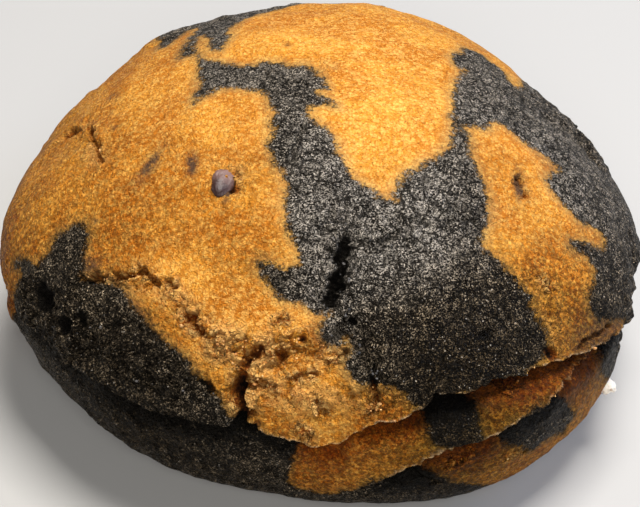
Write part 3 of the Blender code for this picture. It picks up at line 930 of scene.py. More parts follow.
PATCHES = {
    "left_side": Patch(Dough.DARK, (
        (-62, -14), (-57, -19), (-49.9, -19.8), (-47.2, -18.1), (-45, -18), (-43.4, -17.2), (-43.1, -15.6),
        (-45, -14.5), (-42.9, -14.3), (-40.7, -15.4), (-39.1, -17), (-37.2, -16.8), (-35, -16), (-33.7, -14.7),
        (-32, -14), (-28.8, -14.3), (-28.7, -16.2), (-29.9, -18.6), (-30.2, -20), (-31, -22.4), (-29.4, -23.5),
        (-26.4, -24.8), (-25.3, -26.2), (-24.5, -29.1), (-22.9, -31.3), (-21.5, -34), (-18.8, -37),
        (-17.5, -39.9), (-16, -43.2), (-14.2, -46.7), (-11.7, -50.8), (-6.7, -52.5), (-3.3, -54.2),
        (-4.6, -56.3), (-6.7, -59.2), (-7.5, -62.5), (-5, -64.2), (1.7, -65), (6.7, -62.5), (8.3, -60),
        (15, -56.7), (19.2, -56.7), (25, -58.3), (35, -59), (40, -66), (48, -76), (40, -112), (-40, -112),
        (-112, -40), (-96, 6), (-78, -2), (-70, -12),
    )),
    "tongue": Patch(Dough.DARK, (
        (-15.4, 12.6), (-13.9, 10.2), (-12.1, 8.8), (-10.5, 7.5), (-9.4, 6.9), (-7.8, 6.8), (-6.4, 7.3),
        (-4.5, 6.9), (-3.2, 5.6), (-1.6, 6.1), (-0.2, 5), (0.9, 3.1), (1.7, 1.8), (1.7, 0.8), (0.3, 0.4),
        (0.6, -0.9), (2.6, -2.9), (0.9, -2.7), (-0.5, -3.4), (-1.3, -4.2), (-0.5, -5.8), (1.1, -6.9),
        (2.1, -8.8), (3, -10.6), (4.1, -13.1), (5.1, -14.2), (6.3, -14.8), (7.1, -15.6), (8.8, -15.6),
        (9.2, -13.9), (10.1, -12), (11.7, -10.4), (13.8, -8.8), (15.2, -7.1), (15.7, -5.2), (16.3, -2.8),
        (16.9, 0), (17.5, 3.3), (18.3, 6), (19.2, 9.2), (20.1, 10.8), (18.6, 11.8), (18.3, 13.3), (18.8, 15.8),
        (19.8, 16.4), (20.6, 19.4), (23.3, 18.8), (26.7, 15.8), (27.5, 12.7), (28.8, 12.8), (30.2, 17),
        (33, 24), (38, 33), (47, 36), (58, 30), (66, 16), (70, -2), (66, -20), (58, -29), (52, -32),
        (47.5, -33.5), (44.5, -33), (43, -30), (42.6, -27.7), (39, -29.6), (36.4, -30.2), (31, -33),
        (26, -36.8), (21, -39.8), (18, -40.9), (15, -43), (13.4, -44.6), (12.1, -43), (10.4, -41.6),
        (6.9, -41.6), (4.8, -41.4), (3.4, -39.5), (3.7, -37.8), (3.1, -35.9), (1.5, -36.2), (0.4, -35.1),
        (0.7, -33.5), (1.5, -31.9), (-0.4, -31.6), (-2, -30.4), (-4.7, -30), (-5.8, -28.4), (-7.3, -25.4),
        (-5.8, -25), (-4.7, -26.1), (-3.4, -26.2), (-2, -25.4), (-2.5, -22.7), (-3.4, -20.8), (-3.5, -17.9),
        (-3.2, -15.8), (-3.7, -13.4), (-5.1, -11.7), (-5.4, -9), (-5.1, -7.4), (-5.4, -5), (-4.7, -3.9),
        (-5.1, -2.5), (-5.6, -0.6), (-6.4, 0.7), (-7.8, 1.5), (-9.9, 2.3), (-11.6, 2.6), (-13.2, 1.5),
        (-14.3, 0.4), (-14.3, 1.8), (-14.5, 5), (-14.8, 7.2), (-15.1, 10.2),
    )),
    "island": Patch(Dough.GOLD, (
        (16.9, -3.6), (18.1, -2.5), (20, -2.4), (21.1, -0.9), (21.9, -0.4), (23, -0.2), (24.1, -1.6),
        (25.1, -2.5), (27.3, -3.4), (28.9, -3.4), (30.5, -4.4), (30, -5.8), (28.4, -7.1), (27.6, -7.9),
        (28.9, -9.6), (30.8, -11.2), (32.4, -12.5), (34.9, -11.7), (37, -12), (38, -13.4), (37, -15.2),
        (35.1, -15.8), (33.2, -15.5), (30.8, -16.1), (30.5, -16.9), (33, -17.1), (34.9, -18.5), (35.3, -19.8),
        (34.6, -21.2), (34, -23.4), (35, -25.2), (37.2, -26), (40, -25.4), (44.2, -24.4), (44.8, -26.6),
        (40, -30.5), (33, -34.4), (28, -37), (26.2, -36.2), (28, -34.2), (28.8, -32.2), (28, -30),
        (26.9, -28.4), (25.3, -27), (24.8, -25.4), (22.7, -23.9), (20.8, -22), (19.2, -20.9), (18.1, -20.1),
        (18.9, -16.9), (19.2, -14.4), (18.4, -12.3), (18.1, -9.8), (17.1, -7.7), (17.4, -5.2),
    )),
    "crown_streak": Patch(Dough.DARK, (
        (-15.4, 12.6), (-15.9, 16), (-15.2, 18.5), (-13.8, 16.6), (-13.1, 12.7), (-12, 12.3), (-11.3, 15),
        (-11.1, 19), (-9.7, 22.5), (-7.2, 26.6), (-3.2, 30), (1, 32), (6, 36), (2, 43), (-10, 46), (-22, 42),
        (-27, 34), (-22.6, 26), (-21.4, 19.2), (-20.3, 18.7), (-19.7, 21.5), (-18, 24.5), (-16.2, 24),
        (-16, 20), (-16.8, 16.5), (-17.6, 13.2), (-16.4, 12.9),
    )),
    "band_spot": Patch(Dough.DARK, (
        (13.7, -43.2), (14.5, -41.8), (17, -41), (20.4, -41.4), (21.5, -43.5), (22.1, -45.9), (24.2, -48.4),
        (24, -49.7), (21, -50.8), (18, -51.3), (16.6, -49.7), (15.6, -48.4), (15, -46.5), (13.4, -45.1),
    )),
    "fold_spot": Patch(Dough.DARK, (
        (28, -43.8), (29.6, -41.6), (32.3, -39.6), (34, -39.2), (35, -40), (37.7, -40.5), (42.9, -41.6),
        (43.1, -44.3), (37.7, -46.8), (36.4, -48.6), (32.3, -48.6), (28.5, -48.9), (26.9, -47.8),
    )),
    "tongue_fleck": Patch(Dough.GOLD, ((2.8, -35.2), (3.6, -34.8), (4.4, -36.6), (3.7, -37.4))),
    "back_swirl": Patch(Dough.DARK, (
        (-34, 66), (-24, 56), (-10, 52), (4, 57), (16, 49), (30, 54), (36, 66), (22, 74), (4, 70), (-12, 78),
        (-30, 82),
    )),
    "back_foot": Patch(Dough.DARK, (
        (30, 78), (48, 62), (66, 50), (84, 38), (100, 30), (100, 70), (60, 100), (30, 100),
    )),
    "back_left_swirl": Patch(Dough.DARK, (
        (-62, 44), (-54, 34), (-50, 24), (-56, 18), (-64, 20), (-72, 12), (-84, 18), (-86, 34), (-76, 46),
        (-66, 54),
    )),
}
# Faint dark marks on the gold dough; chip_shade, skin_fold and fold_shade are painted shade beside the fruit
# and on the band under the right-hand fold.
SMUDGES_AND_SHADE = {
    "grey_left": Smudge(5.6, 1.9, 52.0, (-19.2, -8.3), 1.1),
    "mauve_mark": Smudge(3.4, 1.2, 84.0, (-14.5, -10.0), 1.4),
    "chip_shade": Smudge(3.4, 1.0, 78.0, (-10.5, -15.0), 1.2),
    "shoulder_dot": Smudge(2.2, 1.2, -40.0, (-26.7, 7.9), 1.0),
    "small_dot": Smudge(1.2, 0.9, 0.0, (-24.2, -0.2), 0.8),
    "left_patch_edge": Smudge(13.0, 3.6, -58.0, (-25.6, -27.8), 0.62),
    "left_patch_top": Smudge(6.0, 3.0, -20.0, (-29.8, -20.5), 0.62),
    "skin_fold": Smudge(17.0, 8.0, 38.0, (39.0, -27.6), 0.55),
    "fold_shade": Smudge(22.0, 9.0, 42.0, (40.0, -39.5), 0.40),
    "low_dot": Smudge(1.1, 0.8, 60.0, (-27.1, -14.6), 0.8),
    "slot_mark": Smudge(4.4, 1.3, 84.0, (23.3, -10.2), 1.5),
    "crown_dot": Smudge(1.3, 0.8, -60.0, (-3.4, 11.0), 0.7),
    "olive_mark": Smudge(4.2, 3.0, -20.0, (28.4, -5.0), 0.45),
    "streak_veil": Smudge(6.0, 3.6, 75.0, (-16.9, 15.0), 0.55),
    "side_veil": Smudge(6.0, 2.6, 50.0, (-19.2, 22.5), 0.5),
    "crown_pores": Smudge(1.4, 0.8, 0.0, (11.2, 16.0), 0.45),
    "left_grey": Smudge(4.0, 2.6, 20.0, (-45.0, 2.0), 0.45),
    "left_edge_grey": Smudge(5.0, 2.4, 40.0, (-41.0, 8.0), 0.6),
    "stray_low": Smudge(2.2, 1.4, 10.0, (-29.0, -20.8), 0.8),
}


@dataclass
class Marbling:
    """Where the dark dough shows: patches laid over each other in turn, then faint smudges and painted shade.
    """

    patches: dict[str, Patch] = field(default_factory=lambda: PATCHES)
    smudges_and_shade: dict[str, Smudge] = field(default_factory=lambda: SMUDGES_AND_SHADE)
    warp: float = 0.45
    warp_width: float = 2.4 * MM
    deepest: float = 9.0

    def dark_distance(self, flat: np.ndarray, positions: np.ndarray) -> np.ndarray:
        """Distance inside the dark dough.

        Args:
            flat: Crust points in millimetres, one to a row.
            positions: The same points on the body, in metres.

        Returns:
            Millimetres, above zero in dark dough and below zero in gold.
        """
        wave = np.stack([noise_field(positions, self.warp_width, at) for at in (71.0, 77.0)], axis=-1)
        bent = flat + self.warp * wave
        depth = np.full(len(flat), -self.deepest)
        for patch in self.patches.values():
            inside = outline_distance(bent, np.array(patch.outline, dtype=float))
            depth = np.maximum(depth, inside) if patch.dough is Dough.DARK else np.minimum(depth, -inside)
        return np.clip(depth, -self.deepest, self.deepest)

    def smudge_and_shade_darkness(self, flat: np.ndarray) -> np.ndarray:
        """Find how dark the faint smears and the painted shade are.

        Args:
            flat: Crust points in millimetres, one to a row.

        Returns:
            One darkness to a point, from 0 up.
        """
        dark = np.zeros(len(flat))
        for smudge_and_shade in self.smudges_and_shade.values():
            turn = math.radians(smudge_and_shade.turn)
            lean = np.array([[math.cos(turn), -math.sin(turn)], [math.sin(turn), math.cos(turn)]])
            across = ((flat - smudge_and_shade.point) @ lean) / (0.5 * smudge_and_shade.length, 0.5 * smudge_and_shade.width)
            dark = np.maximum(dark, smudge_and_shade.darkness * np.exp(-((across**2).sum(axis=1))))
        return dark


# ---------------------------------------------------------------- finishes


@dataclass(frozen=True)
class Mottle:
    """A noise pattern: rough width of its bumps in metres, how many finer layers it has, and how strong."""

    width: float
    detail: float = 2.0
    rough: float = 0.55


@dataclass(frozen=True)
class Speckle:
    """A colour that comes in as a pattern goes across a span, up to a share of 1."""

    colour: Colour
    span: tuple[float, float]
    share: float = 1.0


class NodeBoard:
    """A material's node tree, with short calls for the nodes that the finishes use."""

    def __init__(self, name: str) -> None:
        """Start an empty node tree in a new material.

        Args:
            name: The material's name.
        """
        self.material = bpy.data.materials.new(name)
        self.material.use_nodes = True
        self.tree = self.material.node_tree
        self.shader = self.tree.nodes["Principled BSDF"]
        self.place = self.tree.nodes.new("ShaderNodeTexCoord").outputs["Object"]

    def add(self, kind: str, inputs: dict[str | int, NodeInput], **settings: str) -> bpy.types.Node:
        """Add a node.

        Args:
            kind: The node's type.
            inputs: Values or sockets for its inputs, by name or index.
            **settings: The node's own properties.

        Returns:
            The node.
        """
        node = self.tree.nodes.new(kind)
        for key, value in settings.items():
            setattr(node, key, value)
        for key, value in inputs.items():
            if isinstance(value, bpy.types.NodeSocket):
                self.tree.links.new(value, node.inputs[key])
            else:
                node.inputs[key].default_value = value
        return node

    def attribute(self, name: str) -> Socket:
        """Value of a named attribute of the mesh."""
        return self.add("ShaderNodeAttribute", {}, attribute_name=name).outputs["Fac"]

    def noise(self, mottle: Mottle) -> Socket:
        """Smooth noise.

        Args:
            mottle: Its pattern.

        Returns:
            A value from 0 to 1.
        """
        inputs = {"Scale": 1.0 / mottle.width, "Detail": mottle.detail, "Roughness": mottle.rough}
        return self.add("ShaderNodeTexNoise", {"Vector": self.place, **inputs}).outputs["Fac"]

    def shaken(self, amount: float, width: float) -> Socket:
        """Object coordinates moved about, so that a pattern on them has no straight lines.

        Args:
            amount: How far they move, in metres.
            width: Rough width of the movements, in metres.

        Returns:
            The moved coordinates.
        """
        inputs = {"Vector": self.place, "Scale": 1.0 / width, "Detail": 2.0}
        colour = self.add("ShaderNodeTexNoise", inputs).outputs["Color"]
        kind = "ShaderNodeVectorMath"
        centred = self.add(kind, {0: colour, 1: (0.5, 0.5, 0.5)}, operation="SUBTRACT").outputs[0]
        moved = self.add(kind, {0: centred, "Scale": 2.0 * amount}, operation="SCALE").outputs[0]
        return self.add(kind, {0: self.place, 1: moved}, operation="ADD").outputs[0]

    def grains(self, width: float) -> tuple[Socket, Socket]:
        """Packed round grains.

        Args:
            width: Rough width of a grain, in metres.

        Returns:
            A tone that differs from grain to grain, from 0 to 1, and the distance from the grain's middle.
        """
        inputs = {"Vector": self.shaken(0.16 * width, 0.8 * width), "Scale": 1.0 / width}
        node = self.add("ShaderNodeTexVoronoi", inputs, feature="F1")
        tone = self.add("ShaderNodeSeparateColor", {0: node.outputs["Color"]}).outputs[0]
        return tone, node.outputs["Distance"]

    def seams(self, width: float) -> Socket:
        """Distance from the crooked seams between lumps.

        Args:
            width: Rough width of a lump, in metres.

        Returns:
            The distance, in lump widths.
        """
        inputs = {"Vector": self.shaken(0.55 * width, 0.9 * width), "Scale": 1.0 / width}
        return self.add("ShaderNodeTexVoronoi", inputs, feature="DISTANCE_TO_EDGE").outputs["Distance"]

    def maths(self, operation: str, first: Amount, second: Amount = 0.0, third: Amount = 0.0) -> Socket:
        """One step of arithmetic.

        Args:
            operation: The node's name for it.
            first: First value.
            second: Second value.
            third: Third value, where the operation has one.

        Returns:
            The result.
        """
        return self.add("ShaderNodeMath", {0: first, 1: second, 2: third}, operation=operation).outputs[0]

    def times(self, first: Amount, second: Amount) -> Socket:
        """Product of two values."""
        return self.maths("MULTIPLY", first, second)

    def scaled(self, value: Amount, by: float, plus: Amount) -> Socket:
        """A value scaled by a number, with another value added."""
        return self.maths("MULTIPLY_ADD", value, by, plus)

    def remap(
        self, value: Amount, low: float, high: float, to_low: float = 0.0, to_high: float = 1.0
    ) -> Socket:
        """Map a value smoothly from one span to another.

        Args:
            value: The value.
            low: Where the first span starts.
            high: Where it ends.
            to_low: Result at its start.
            to_high: Result at its end.

        Returns:
            The result, held at both ends.
        """
        inputs = {"Value": value, "From Min": low, "From Max": high, "To Min": to_low, "To Max": to_high}
        return self.add("ShaderNodeMapRange", inputs, interpolation_type="SMOOTHSTEP").outputs["Result"]

    def mix(self, factor: Amount, first: Tint, second: Tint, blend: str = "MIX") -> Socket:
        """Mix two colours.

        Args:
            factor: Share of the second colour.
            first: First colour.
            second: Second colour.
            blend: The node's name for the way of mixing.

        Returns:
            The mixed colour.
        """
        node = self.tree.nodes.new("ShaderNodeMix")
        node.data_type = "RGBA"
        node.blend_type = blend
        for name, value in (("Factor", factor), (6, first), (7, second)):
            socket = node.inputs[name]
            if isinstance(value, Socket):
                self.tree.links.new(value, socket)
            elif isinstance(value, tuple):
                socket.default_value = (*value, 1.0)
            else:
                socket.default_value = value
        return node.outputs[2]

    def speckle(
        self, colour: Tint, pattern: Socket, speckles: Sequence[Speckle], blend: str = "MIX"
    ) -> Socket:
        """Lay speckles on a colour where a pattern calls for them.

        Args:
            colour: The colour under them.
            pattern: The pattern's value.
            speckles: The speckles, in the order in which they are laid.
            blend: The node's name for the way of mixing.

        Returns:
            The speckled colour.
        """
        for one in speckles:
            colour = self.mix(self.remap(pattern, *one.span, 0.0, one.share), colour, one.colour, blend)
        return colour

    def bump(self, height: Socket, depth: float, under: Socket | None = None) -> Socket:
        """Bump a surface.

        Args:
            height: Height from 0 to 1.
            depth: What a height of 1 stands for, in metres.
            under: A coarser bump that this one lies on.

        Returns:
            The bumped normal.
        """
        inputs = {"Height": height, "Distance": depth, "Strength": 1.0}
        if under is not None:
            inputs["Normal"] = under
        return self.add("ShaderNodeBump", inputs).outputs["Normal"]

    def finish(self, colour: Tint, roughness: Amount, normal: Socket | None = None) -> bpy.types.Material:
        """Join the parts of a finish to the shader.

        Args:
            colour: Base colour.
            roughness: Roughness from 0 to 1.
            normal: Bumped normal, or None for a smooth surface.

        Returns:
            The finished material.
        """
        for name, value in (("Base Color", colour), ("Roughness", roughness), ("Normal", normal)):
            if isinstance(value, Socket):
                self.tree.links.new(value, self.shader.inputs[name])
            elif isinstance(value, tuple):
                self.shader.inputs[name].default_value = (*value, 1.0)
            elif value is not None:
                self.shader.inputs[name].default_value = value
        return self.material


@dataclass(frozen=True)
class CrustFinish:
    """Baked crust: gold and dark dough with a sugary grain and torn crumb, browning with painted shade,
    painted shade in cracks, seams and under lips, and painted highlights on lip edges and a few grains.
    """

    gold_low: Colour = (0.52, 0.175, 0.014)
    gold_high: Colour = (0.72, 0.300, 0.034)
    gold_pale: Colour = (0.98, 0.590, 0.160)
    gold_pore_and_shade: Colour = (0.30, 0.080, 0.006)
    # What browning with painted shade leaves of the gold colour between the grains and on them.
    gold_gaps_browned_and_shaded: Colour = (0.24, 0.205, 0.11)
    gold_grains_browned_and_shaded: Colour = (0.74, 0.650, 0.44)
    veil: Colour = (0.30, 0.225, 0.090)
    crumb: Colour = (0.94, 0.585, 0.215)
    # Pale line along the lips' edges: painted highlight.
    rim: Colour = (0.66, 0.46, 0.26)
    dark_low: Colour = (0.006, 0.0045, 0.003)
    dark_high: Colour = (0.570, 0.505, 0.425)
    # Painted glint on a few grains of the dark dough.
    dark_painted_glint: Colour = (0.74, 0.68, 0.60)
    # What browning with painted shade leaves of the dark colour between the grains and on them.
    dark_gaps_browned_and_shaded: Colour = (0.36, 0.30, 0.22)
    dark_grains_browned_and_shaded: Colour = (1.0, 0.89, 0.72)
    # Painted shade where the crust is darkened most, under the lips and low down.
    gold_deepest_shade: Colour = (0.36, 0.41, 0.38)
    dark_deepest_shade: Colour = (0.28, 0.235, 0.16)
    # Faint smears, and painted shade beside the fruit and under the fold.
    smudge_and_shade: Colour = (0.050, 0.030, 0.022)
    # Painted shade in cracks, pits, fissures and under the lips: first a tint, then deeper colours, black at
    # the floors.
    shade_gold: Colour = (0.52, 0.31, 0.13)
    gold_hollow_shade: Colour = (0.085, 0.022, 0.004)
    hollow_black_shade: Colour = (0.003, 0.0024, 0.0018)
    butter: Colour = (1.0, 0.90, 0.76)
    gold_grain: float = 0.46 * MM
    dark_grain: float = 0.31 * MM
    lump: float = 1.7 * MM
    join_clots: Mottle = Mottle(1.3 * MM, 2.0, 0.6)
    join_grain: Mottle = Mottle(0.4 * MM, 2.0, 0.7)
    # Which grains stay light where browning with painted shade darkens the dough.
    browning_and_shade_grain: Mottle = Mottle(0.62 * MM, 3.0, 0.8)
    browning: Mottle = Mottle(8.0 * MM, 3.0)
    gold_patch: Mottle = Mottle(1.9 * MM, 3.0, 0.6)
    gold_fine: Mottle = Mottle(0.29 * MM, 2.0, 0.75)
    crumb_edge: Mottle = Mottle(0.8 * MM)
    dark_fine: Mottle = Mottle(0.17 * MM, 1.0, 0.6)
    dark_patch: Mottle = Mottle(2.6 * MM, 2.0, 0.6)
    clots: Mottle = Mottle(0.95 * MM, 2.0, 0.7)
    sugar: Mottle = Mottle(0.38 * MM, 2.0, 0.8)
    seam_break: Mottle = Mottle(3.4 * MM)
    stipple: Mottle = Mottle(0.7 * MM)
    hollow_edge: Mottle = Mottle(0.6 * MM, 2.0, 0.6)
    polish: Mottle = Mottle(0.5 * MM)
    patch_speckles: tuple[Speckle, ...] = (
        Speckle(gold_pale, (0.50, 0.70), 0.30), Speckle(gold_pore_and_shade, (0.50, 0.30), 0.20),
    )
    tone_speckles: tuple[Speckle, ...] = (
        Speckle(gold_pale, (0.35, 1.0), 0.42), Speckle(gold_pore_and_shade, (0.35, 0.0), 0.24),
    )
    gap_speckles: tuple[Speckle, ...] = (Speckle(gold_pore_and_shade, (0.40, 0.75), 0.32),)
    fine_speckles: tuple[Speckle, ...] = (
        Speckle(gold_pore_and_shade, (0.47, 0.30), 0.62), Speckle(gold_pale, (0.55, 0.70), 0.60),
    )
    # Painted shade at the floors of cracks and deep under the lips.
    deep_gold_shade: tuple[Speckle, ...] = (
        Speckle(gold_hollow_shade, (0.52, 0.90)), Speckle(hollow_black_shade, (0.86, 1.08)),
    )
    lump_bump: float = 0.52 * MM
    clot_bump: float = 0.40 * MM
    bead_bump: float = 0.20 * MM
    fine_bump: float = 0.32 * MM
    wet_polish: float = 0.38
    gloss: float = 0.07
    sheen: float = 0.012
    sheen_roughness: float = 0.45

    def dark_share(self, board: NodeBoard) -> Socket:
        """Break up the edge between the doughs grain by grain.

        Args:
            board: The material's nodes.

        Returns:
            Share of dark dough, from 0 to 1.
        """
        clot = board.scaled(board.noise(self.join_clots), 2.2, -1.1)
        grain = board.scaled(board.noise(self.join_grain), 1.8, -0.9)
        edge = board.maths("ADD", board.attribute("marble"), board.maths("ADD", clot, grain))
        return board.remap(edge, -0.42, 0.40)

    def browning_and_shade(
        self, board: NodeBoard, baked: Socket, colour: Socket, low: Colour, high: Colour, deepest_shade: Colour
    ) -> Socket:
        """Darken a dough by browning with painted shade, most low on the side, where single grains stay light.

        Args:
            board: The material's nodes.
            baked: How far the dough is browned, with painted shade, from 0 to 2.
            colour: The dough's colour where it is least browned and shaded.
            low: What is left of that colour between the grains.
            high: What is left of it on the grains.
            deepest_shade: What is left of both where painted shade darkens it most, above 1.

        Returns:
            The colour, browned and shaded.
        """
        grain = board.remap(board.noise(self.browning_and_shade_grain), 0.43, 0.62)
        left = board.mix(grain, low, high)
        colour = board.mix(board.maths("MINIMUM", baked, 1.0), colour, left, "MULTIPLY")
        return board.speckle(colour, baked, [Speckle(deepest_shade, (1.0, 2.0))], "MULTIPLY")

    def gold_colour(self, board: NodeBoard, seam: Socket, torn: Socket) -> Socket:
        """Colour of the gold dough: slow browning under pale grains, brown pores, torn crumb, painted shade in
        the crumb's seams and valleys, and browning with painted shade low down.

        Args:
            board: The material's nodes.
            seam: Painted shade in the seams between lumps, from 0 to 1.
            torn: Where the crumb is laid bare, from 0 to 1.

        Returns:
            The colour.
        """
        slow = board.remap(board.noise(self.browning), 0.38, 0.62)
        colour = board.mix(slow, self.gold_low, self.gold_high)
        tone, middle = board.grains(self.gold_grain)
        colour = board.speckle(colour, board.noise(self.gold_patch), self.patch_speckles)
        colour = board.speckle(colour, tone, self.tone_speckles)
        colour = board.speckle(colour, middle, self.gap_speckles)
        colour = board.speckle(colour, board.noise(self.gold_fine), self.fine_speckles)
        lump = board.scaled(board.noise(self.crumb_edge), 1.2, -0.60)
        lump = board.remap(board.maths("ADD", board.attribute("lump"), lump), 0.24, 0.64)
        bare = board.times(torn, lump)
        colour = board.mix(board.times(bare, 0.72), colour, self.crumb)
        # Painted shade in the seams and valleys of torn crumb, in the pores' brown.
        split = board.maths("MAXIMUM", seam, board.times(board.attribute("valley_shade"), 0.6))
        colour = board.mix(board.times(split, torn), colour, self.gold_pore_and_shade)
        colour = board.speckle(colour, board.attribute("marble"), [Speckle(self.veil, (-2.0, 0.0), 0.50)])
        # Bare crumb takes less of the browning and painted shade.
        baked = board.times(board.attribute("baked"), board.scaled(bare, -0.6, 1.0))
        return self.browning_and_shade(board, baked, colour, self.gold_gaps_browned_and_shaded, self.gold_grains_browned_and_shaded, self.gold_deepest_shade)

    def dark_colour(self, board: NodeBoard, seam: Socket) -> Socket:
        """Colour of the dark dough: warm black with grey grains, painted shade in its seams and valleys, and
        painted glints on a few grains.

        Args:
            board: The material's nodes.
            seam: Painted shade in the seams between lumps, from 0 to 1.

        Returns:
            The colour.
        """
        tone, middle = board.grains(self.dark_grain)
        fine = board.noise(self.dark_fine)
        patch = board.noise(self.dark_patch)
        level = board.scaled(tone, 0.26, board.scaled(fine, 2.0, -0.97))
        level = board.maths("ADD", level, board.scaled(patch, 0.50, -0.25))
        # Each grain lighter in its middle and darker at its edge: painted light on the beads, over their own
        # tone.
        level = board.maths("ADD", level, board.remap(middle, 0.30, 0.70, 0.08, -0.12))
        # Browning with painted shade leaves fewer grains light.
        baked = board.attribute("baked")
        darker = board.times(board.maths("MINIMUM", baked, 1.0), 0.16)
        level = board.maths("SUBTRACT", level, darker)
        colour = board.mix(board.remap(level, -0.10, 0.48), self.dark_low, self.dark_high)
        # Painted glints in the middles of a few grains.
        painted_glint = board.times(board.remap(tone, 0.91, 0.96), board.remap(middle, 0.34, 0.16, 0.0, 0.50))
        # Painted shade, near black, in the valleys between clods and in the seams.
        groove_shade = board.maths("MAXIMUM", board.times(board.attribute("valley_shade"), 0.75), board.times(seam, 0.92))
        colour = board.mix(groove_shade, colour, self.dark_low)
        colour = self.browning_and_shade(board, baked, colour, self.dark_gaps_browned_and_shaded, self.dark_grains_browned_and_shaded, self.dark_deepest_shade)
        return board.mix(painted_glint, colour, self.dark_painted_glint)

    def relief(self, board: NodeBoard, dark: Socket, torn: Socket, edge: Socket) -> Socket:
        """Grain of the crust: fine on gold dough, coarse and clotted on dark and torn dough.

        Args:
            board: The material's nodes.
            dark: Share of dark dough.
            torn: Where the crumb is laid bare, from 0 to 1.
            edge: Distance from the seams between lumps, in lump widths.

        Returns:
            The bumped normal.
        """
        rough = board.maths("MAXIMUM", dark, torn)
        lumps = board.times(board.remap(edge, 0.0, 0.30), rough)
        normal = board.bump(lumps, self.lump_bump)
        coarse = board.remap(board.noise(self.clots), 0.30, 0.70)
        clots = board.times(coarse, board.scaled(rough, 0.72, 0.28))
        normal = board.bump(clots, self.clot_bump, normal)
        _, middle = board.grains(self.dark_grain)
        beads = board.times(board.remap(middle, 0.72, 0.05), board.scaled(dark, 0.7, 0.3))
        normal = board.bump(beads, self.bead_bump, normal)
        grains = board.remap(board.noise(self.sugar), 0.32, 0.68)
        fine = board.times(grains, board.scaled(rough, 0.62, 0.38))
        return board.bump(fine, self.fine_bump, normal)

    def material(self) -> bpy.types.Material:
        """Build the crust's material.

        Returns:
            The material, which reads the crust's attributes.
        """
        board = NodeBoard("marbled_crust")
        dark = self.dark_share(board)
        torn = board.attribute("torn")
        edge = board.seams(self.lump)
        broken = board.remap(board.noise(self.seam_break), 0.32, 0.48)
        # Painted shade in the crooked seams between lumps, broken up in places.
        seam = board.times(board.remap(edge, 0.11, 0.015), broken)

        gold = self.gold_colour(board, seam, torn)
        stipple = board.noise(self.stipple)
        # Faint smears, and painted shade beside the fruit and under the fold, broken up.
        smears_and_shade = board.times(board.attribute("smudge_and_shade"), board.remap(stipple, 0.22, 0.54))
        gold = board.mix(board.maths("MINIMUM", smears_and_shade, 0.9), gold, self.smudge_and_shade)
        # Pale line along the lips' edges, broken up: painted highlight.
        rim = board.times(board.attribute("rim"), board.remap(stipple, 0.38, 0.58))
        gold = board.mix(board.times(rim, 0.62), gold, self.rim)

        # Painted shade in cracks, pits, fissures and under the lips, with a ragged edge.
        ragged = board.scaled(board.noise(self.hollow_edge), 0.7, -0.35)
        cavity_shade = board.attribute("cavity_shade")
        hollow_shade = board.maths("ADD", cavity_shade, board.times(ragged, board.remap(cavity_shade, 0.02, 0.25)))
        gold = board.speckle(gold, hollow_shade, [Speckle(self.shade_gold, (0.02, 0.60))], "MULTIPLY")
        gold = board.speckle(gold, hollow_shade, self.deep_gold_shade)
        black = self.dark_colour(board, seam)
        # Painted shade on the dark dough, near black, in cracks and under the lips.
        black = board.speckle(black, hollow_shade, [Speckle(self.hollow_black_shade, (0.12, 0.46))])
        colour = board.mix(dark, gold, black)

        roughness = board.remap(board.noise(self.polish), 0.38, 0.62, -0.08, 0.10)
        roughness = board.maths("ADD", roughness, board.remap(dark, 0.0, 1.0, 0.60, 0.40))
        roughness = board.scaled(board.attribute("wet"), -self.wet_polish, roughness)
        shader = board.shader.inputs
        shader["Specular IOR Level"].default_value = self.gloss
        shader["Specular Tint"].default_value = (*self.butter, 1.0)
        shader["Sheen Weight"].default_value = self.sheen
        shader["Sheen Roughness"].default_value = self.sheen_roughness
        shader["Sheen Tint"].default_value = (*self.butter, 1.0)
        return board.finish(colour, roughness, self.relief(board, dark, torn, edge))


@dataclass(frozen=True)
class CrumbFinish:
    """Loose crumbs of one dough, each a little lighter or darker than the next."""

    dough: Dough
    low: Colour
    high: Colour
    roughness: float = 0.62
    bump: float = 0.10 * MM
    mottle: Mottle = Mottle(0.3 * MM)
    grain: Mottle = Mottle(0.2 * MM)

    def material(self) -> bpy.types.Material:
        """Build the crumbs' material.

        Returns:
            The material.
        """
        board = NodeBoard(f"{self.dough.value}_crumb")
        tone = board.scaled(board.noise(self.mottle), 0.5, board.attribute("tone"))
        colour = board.mix(board.remap(tone, 0.25, 1.1), self.low, self.high)
        return board.finish(colour, self.roughness, board.bump(board.noise(self.grain), self.bump))


@dataclass(frozen=True)
class ChipFinish:
    """Pale nut chip, creamy with a toasted side."""

    cream: Colour = (0.80, 0.73, 0.63)
    toast: Colour = (0.34, 0.17, 0.07)
    glow: float = 0.15
    glow_depth: tuple[float, float, float] = (0.8 * MM, 0.5 * MM, 0.3 * MM)
    roughness: float = 0.42
    bump: float = 0.12 * MM
    mottle: Mottle = Mottle(0.8 * MM)
    grain: Mottle = Mottle(0.35 * MM)

    def material(self) -> bpy.types.Material:
        """Build the chip's material.

        Returns:
            The material.
        """
        board = NodeBoard("nut_chip")
        toasted = board.remap(board.noise(self.mottle), 0.56, 0.70)
        side = board.times(board.attribute("tone"), 0.55)
        colour = board.mix(board.maths("MAXIMUM", toasted, side), self.cream, self.toast)
        board.shader.inputs["Subsurface Weight"].default_value = self.glow
        board.shader.inputs["Subsurface Radius"].default_value = self.glow_depth
        return board.finish(colour, self.roughness, board.bump(board.noise(self.grain), self.bump))


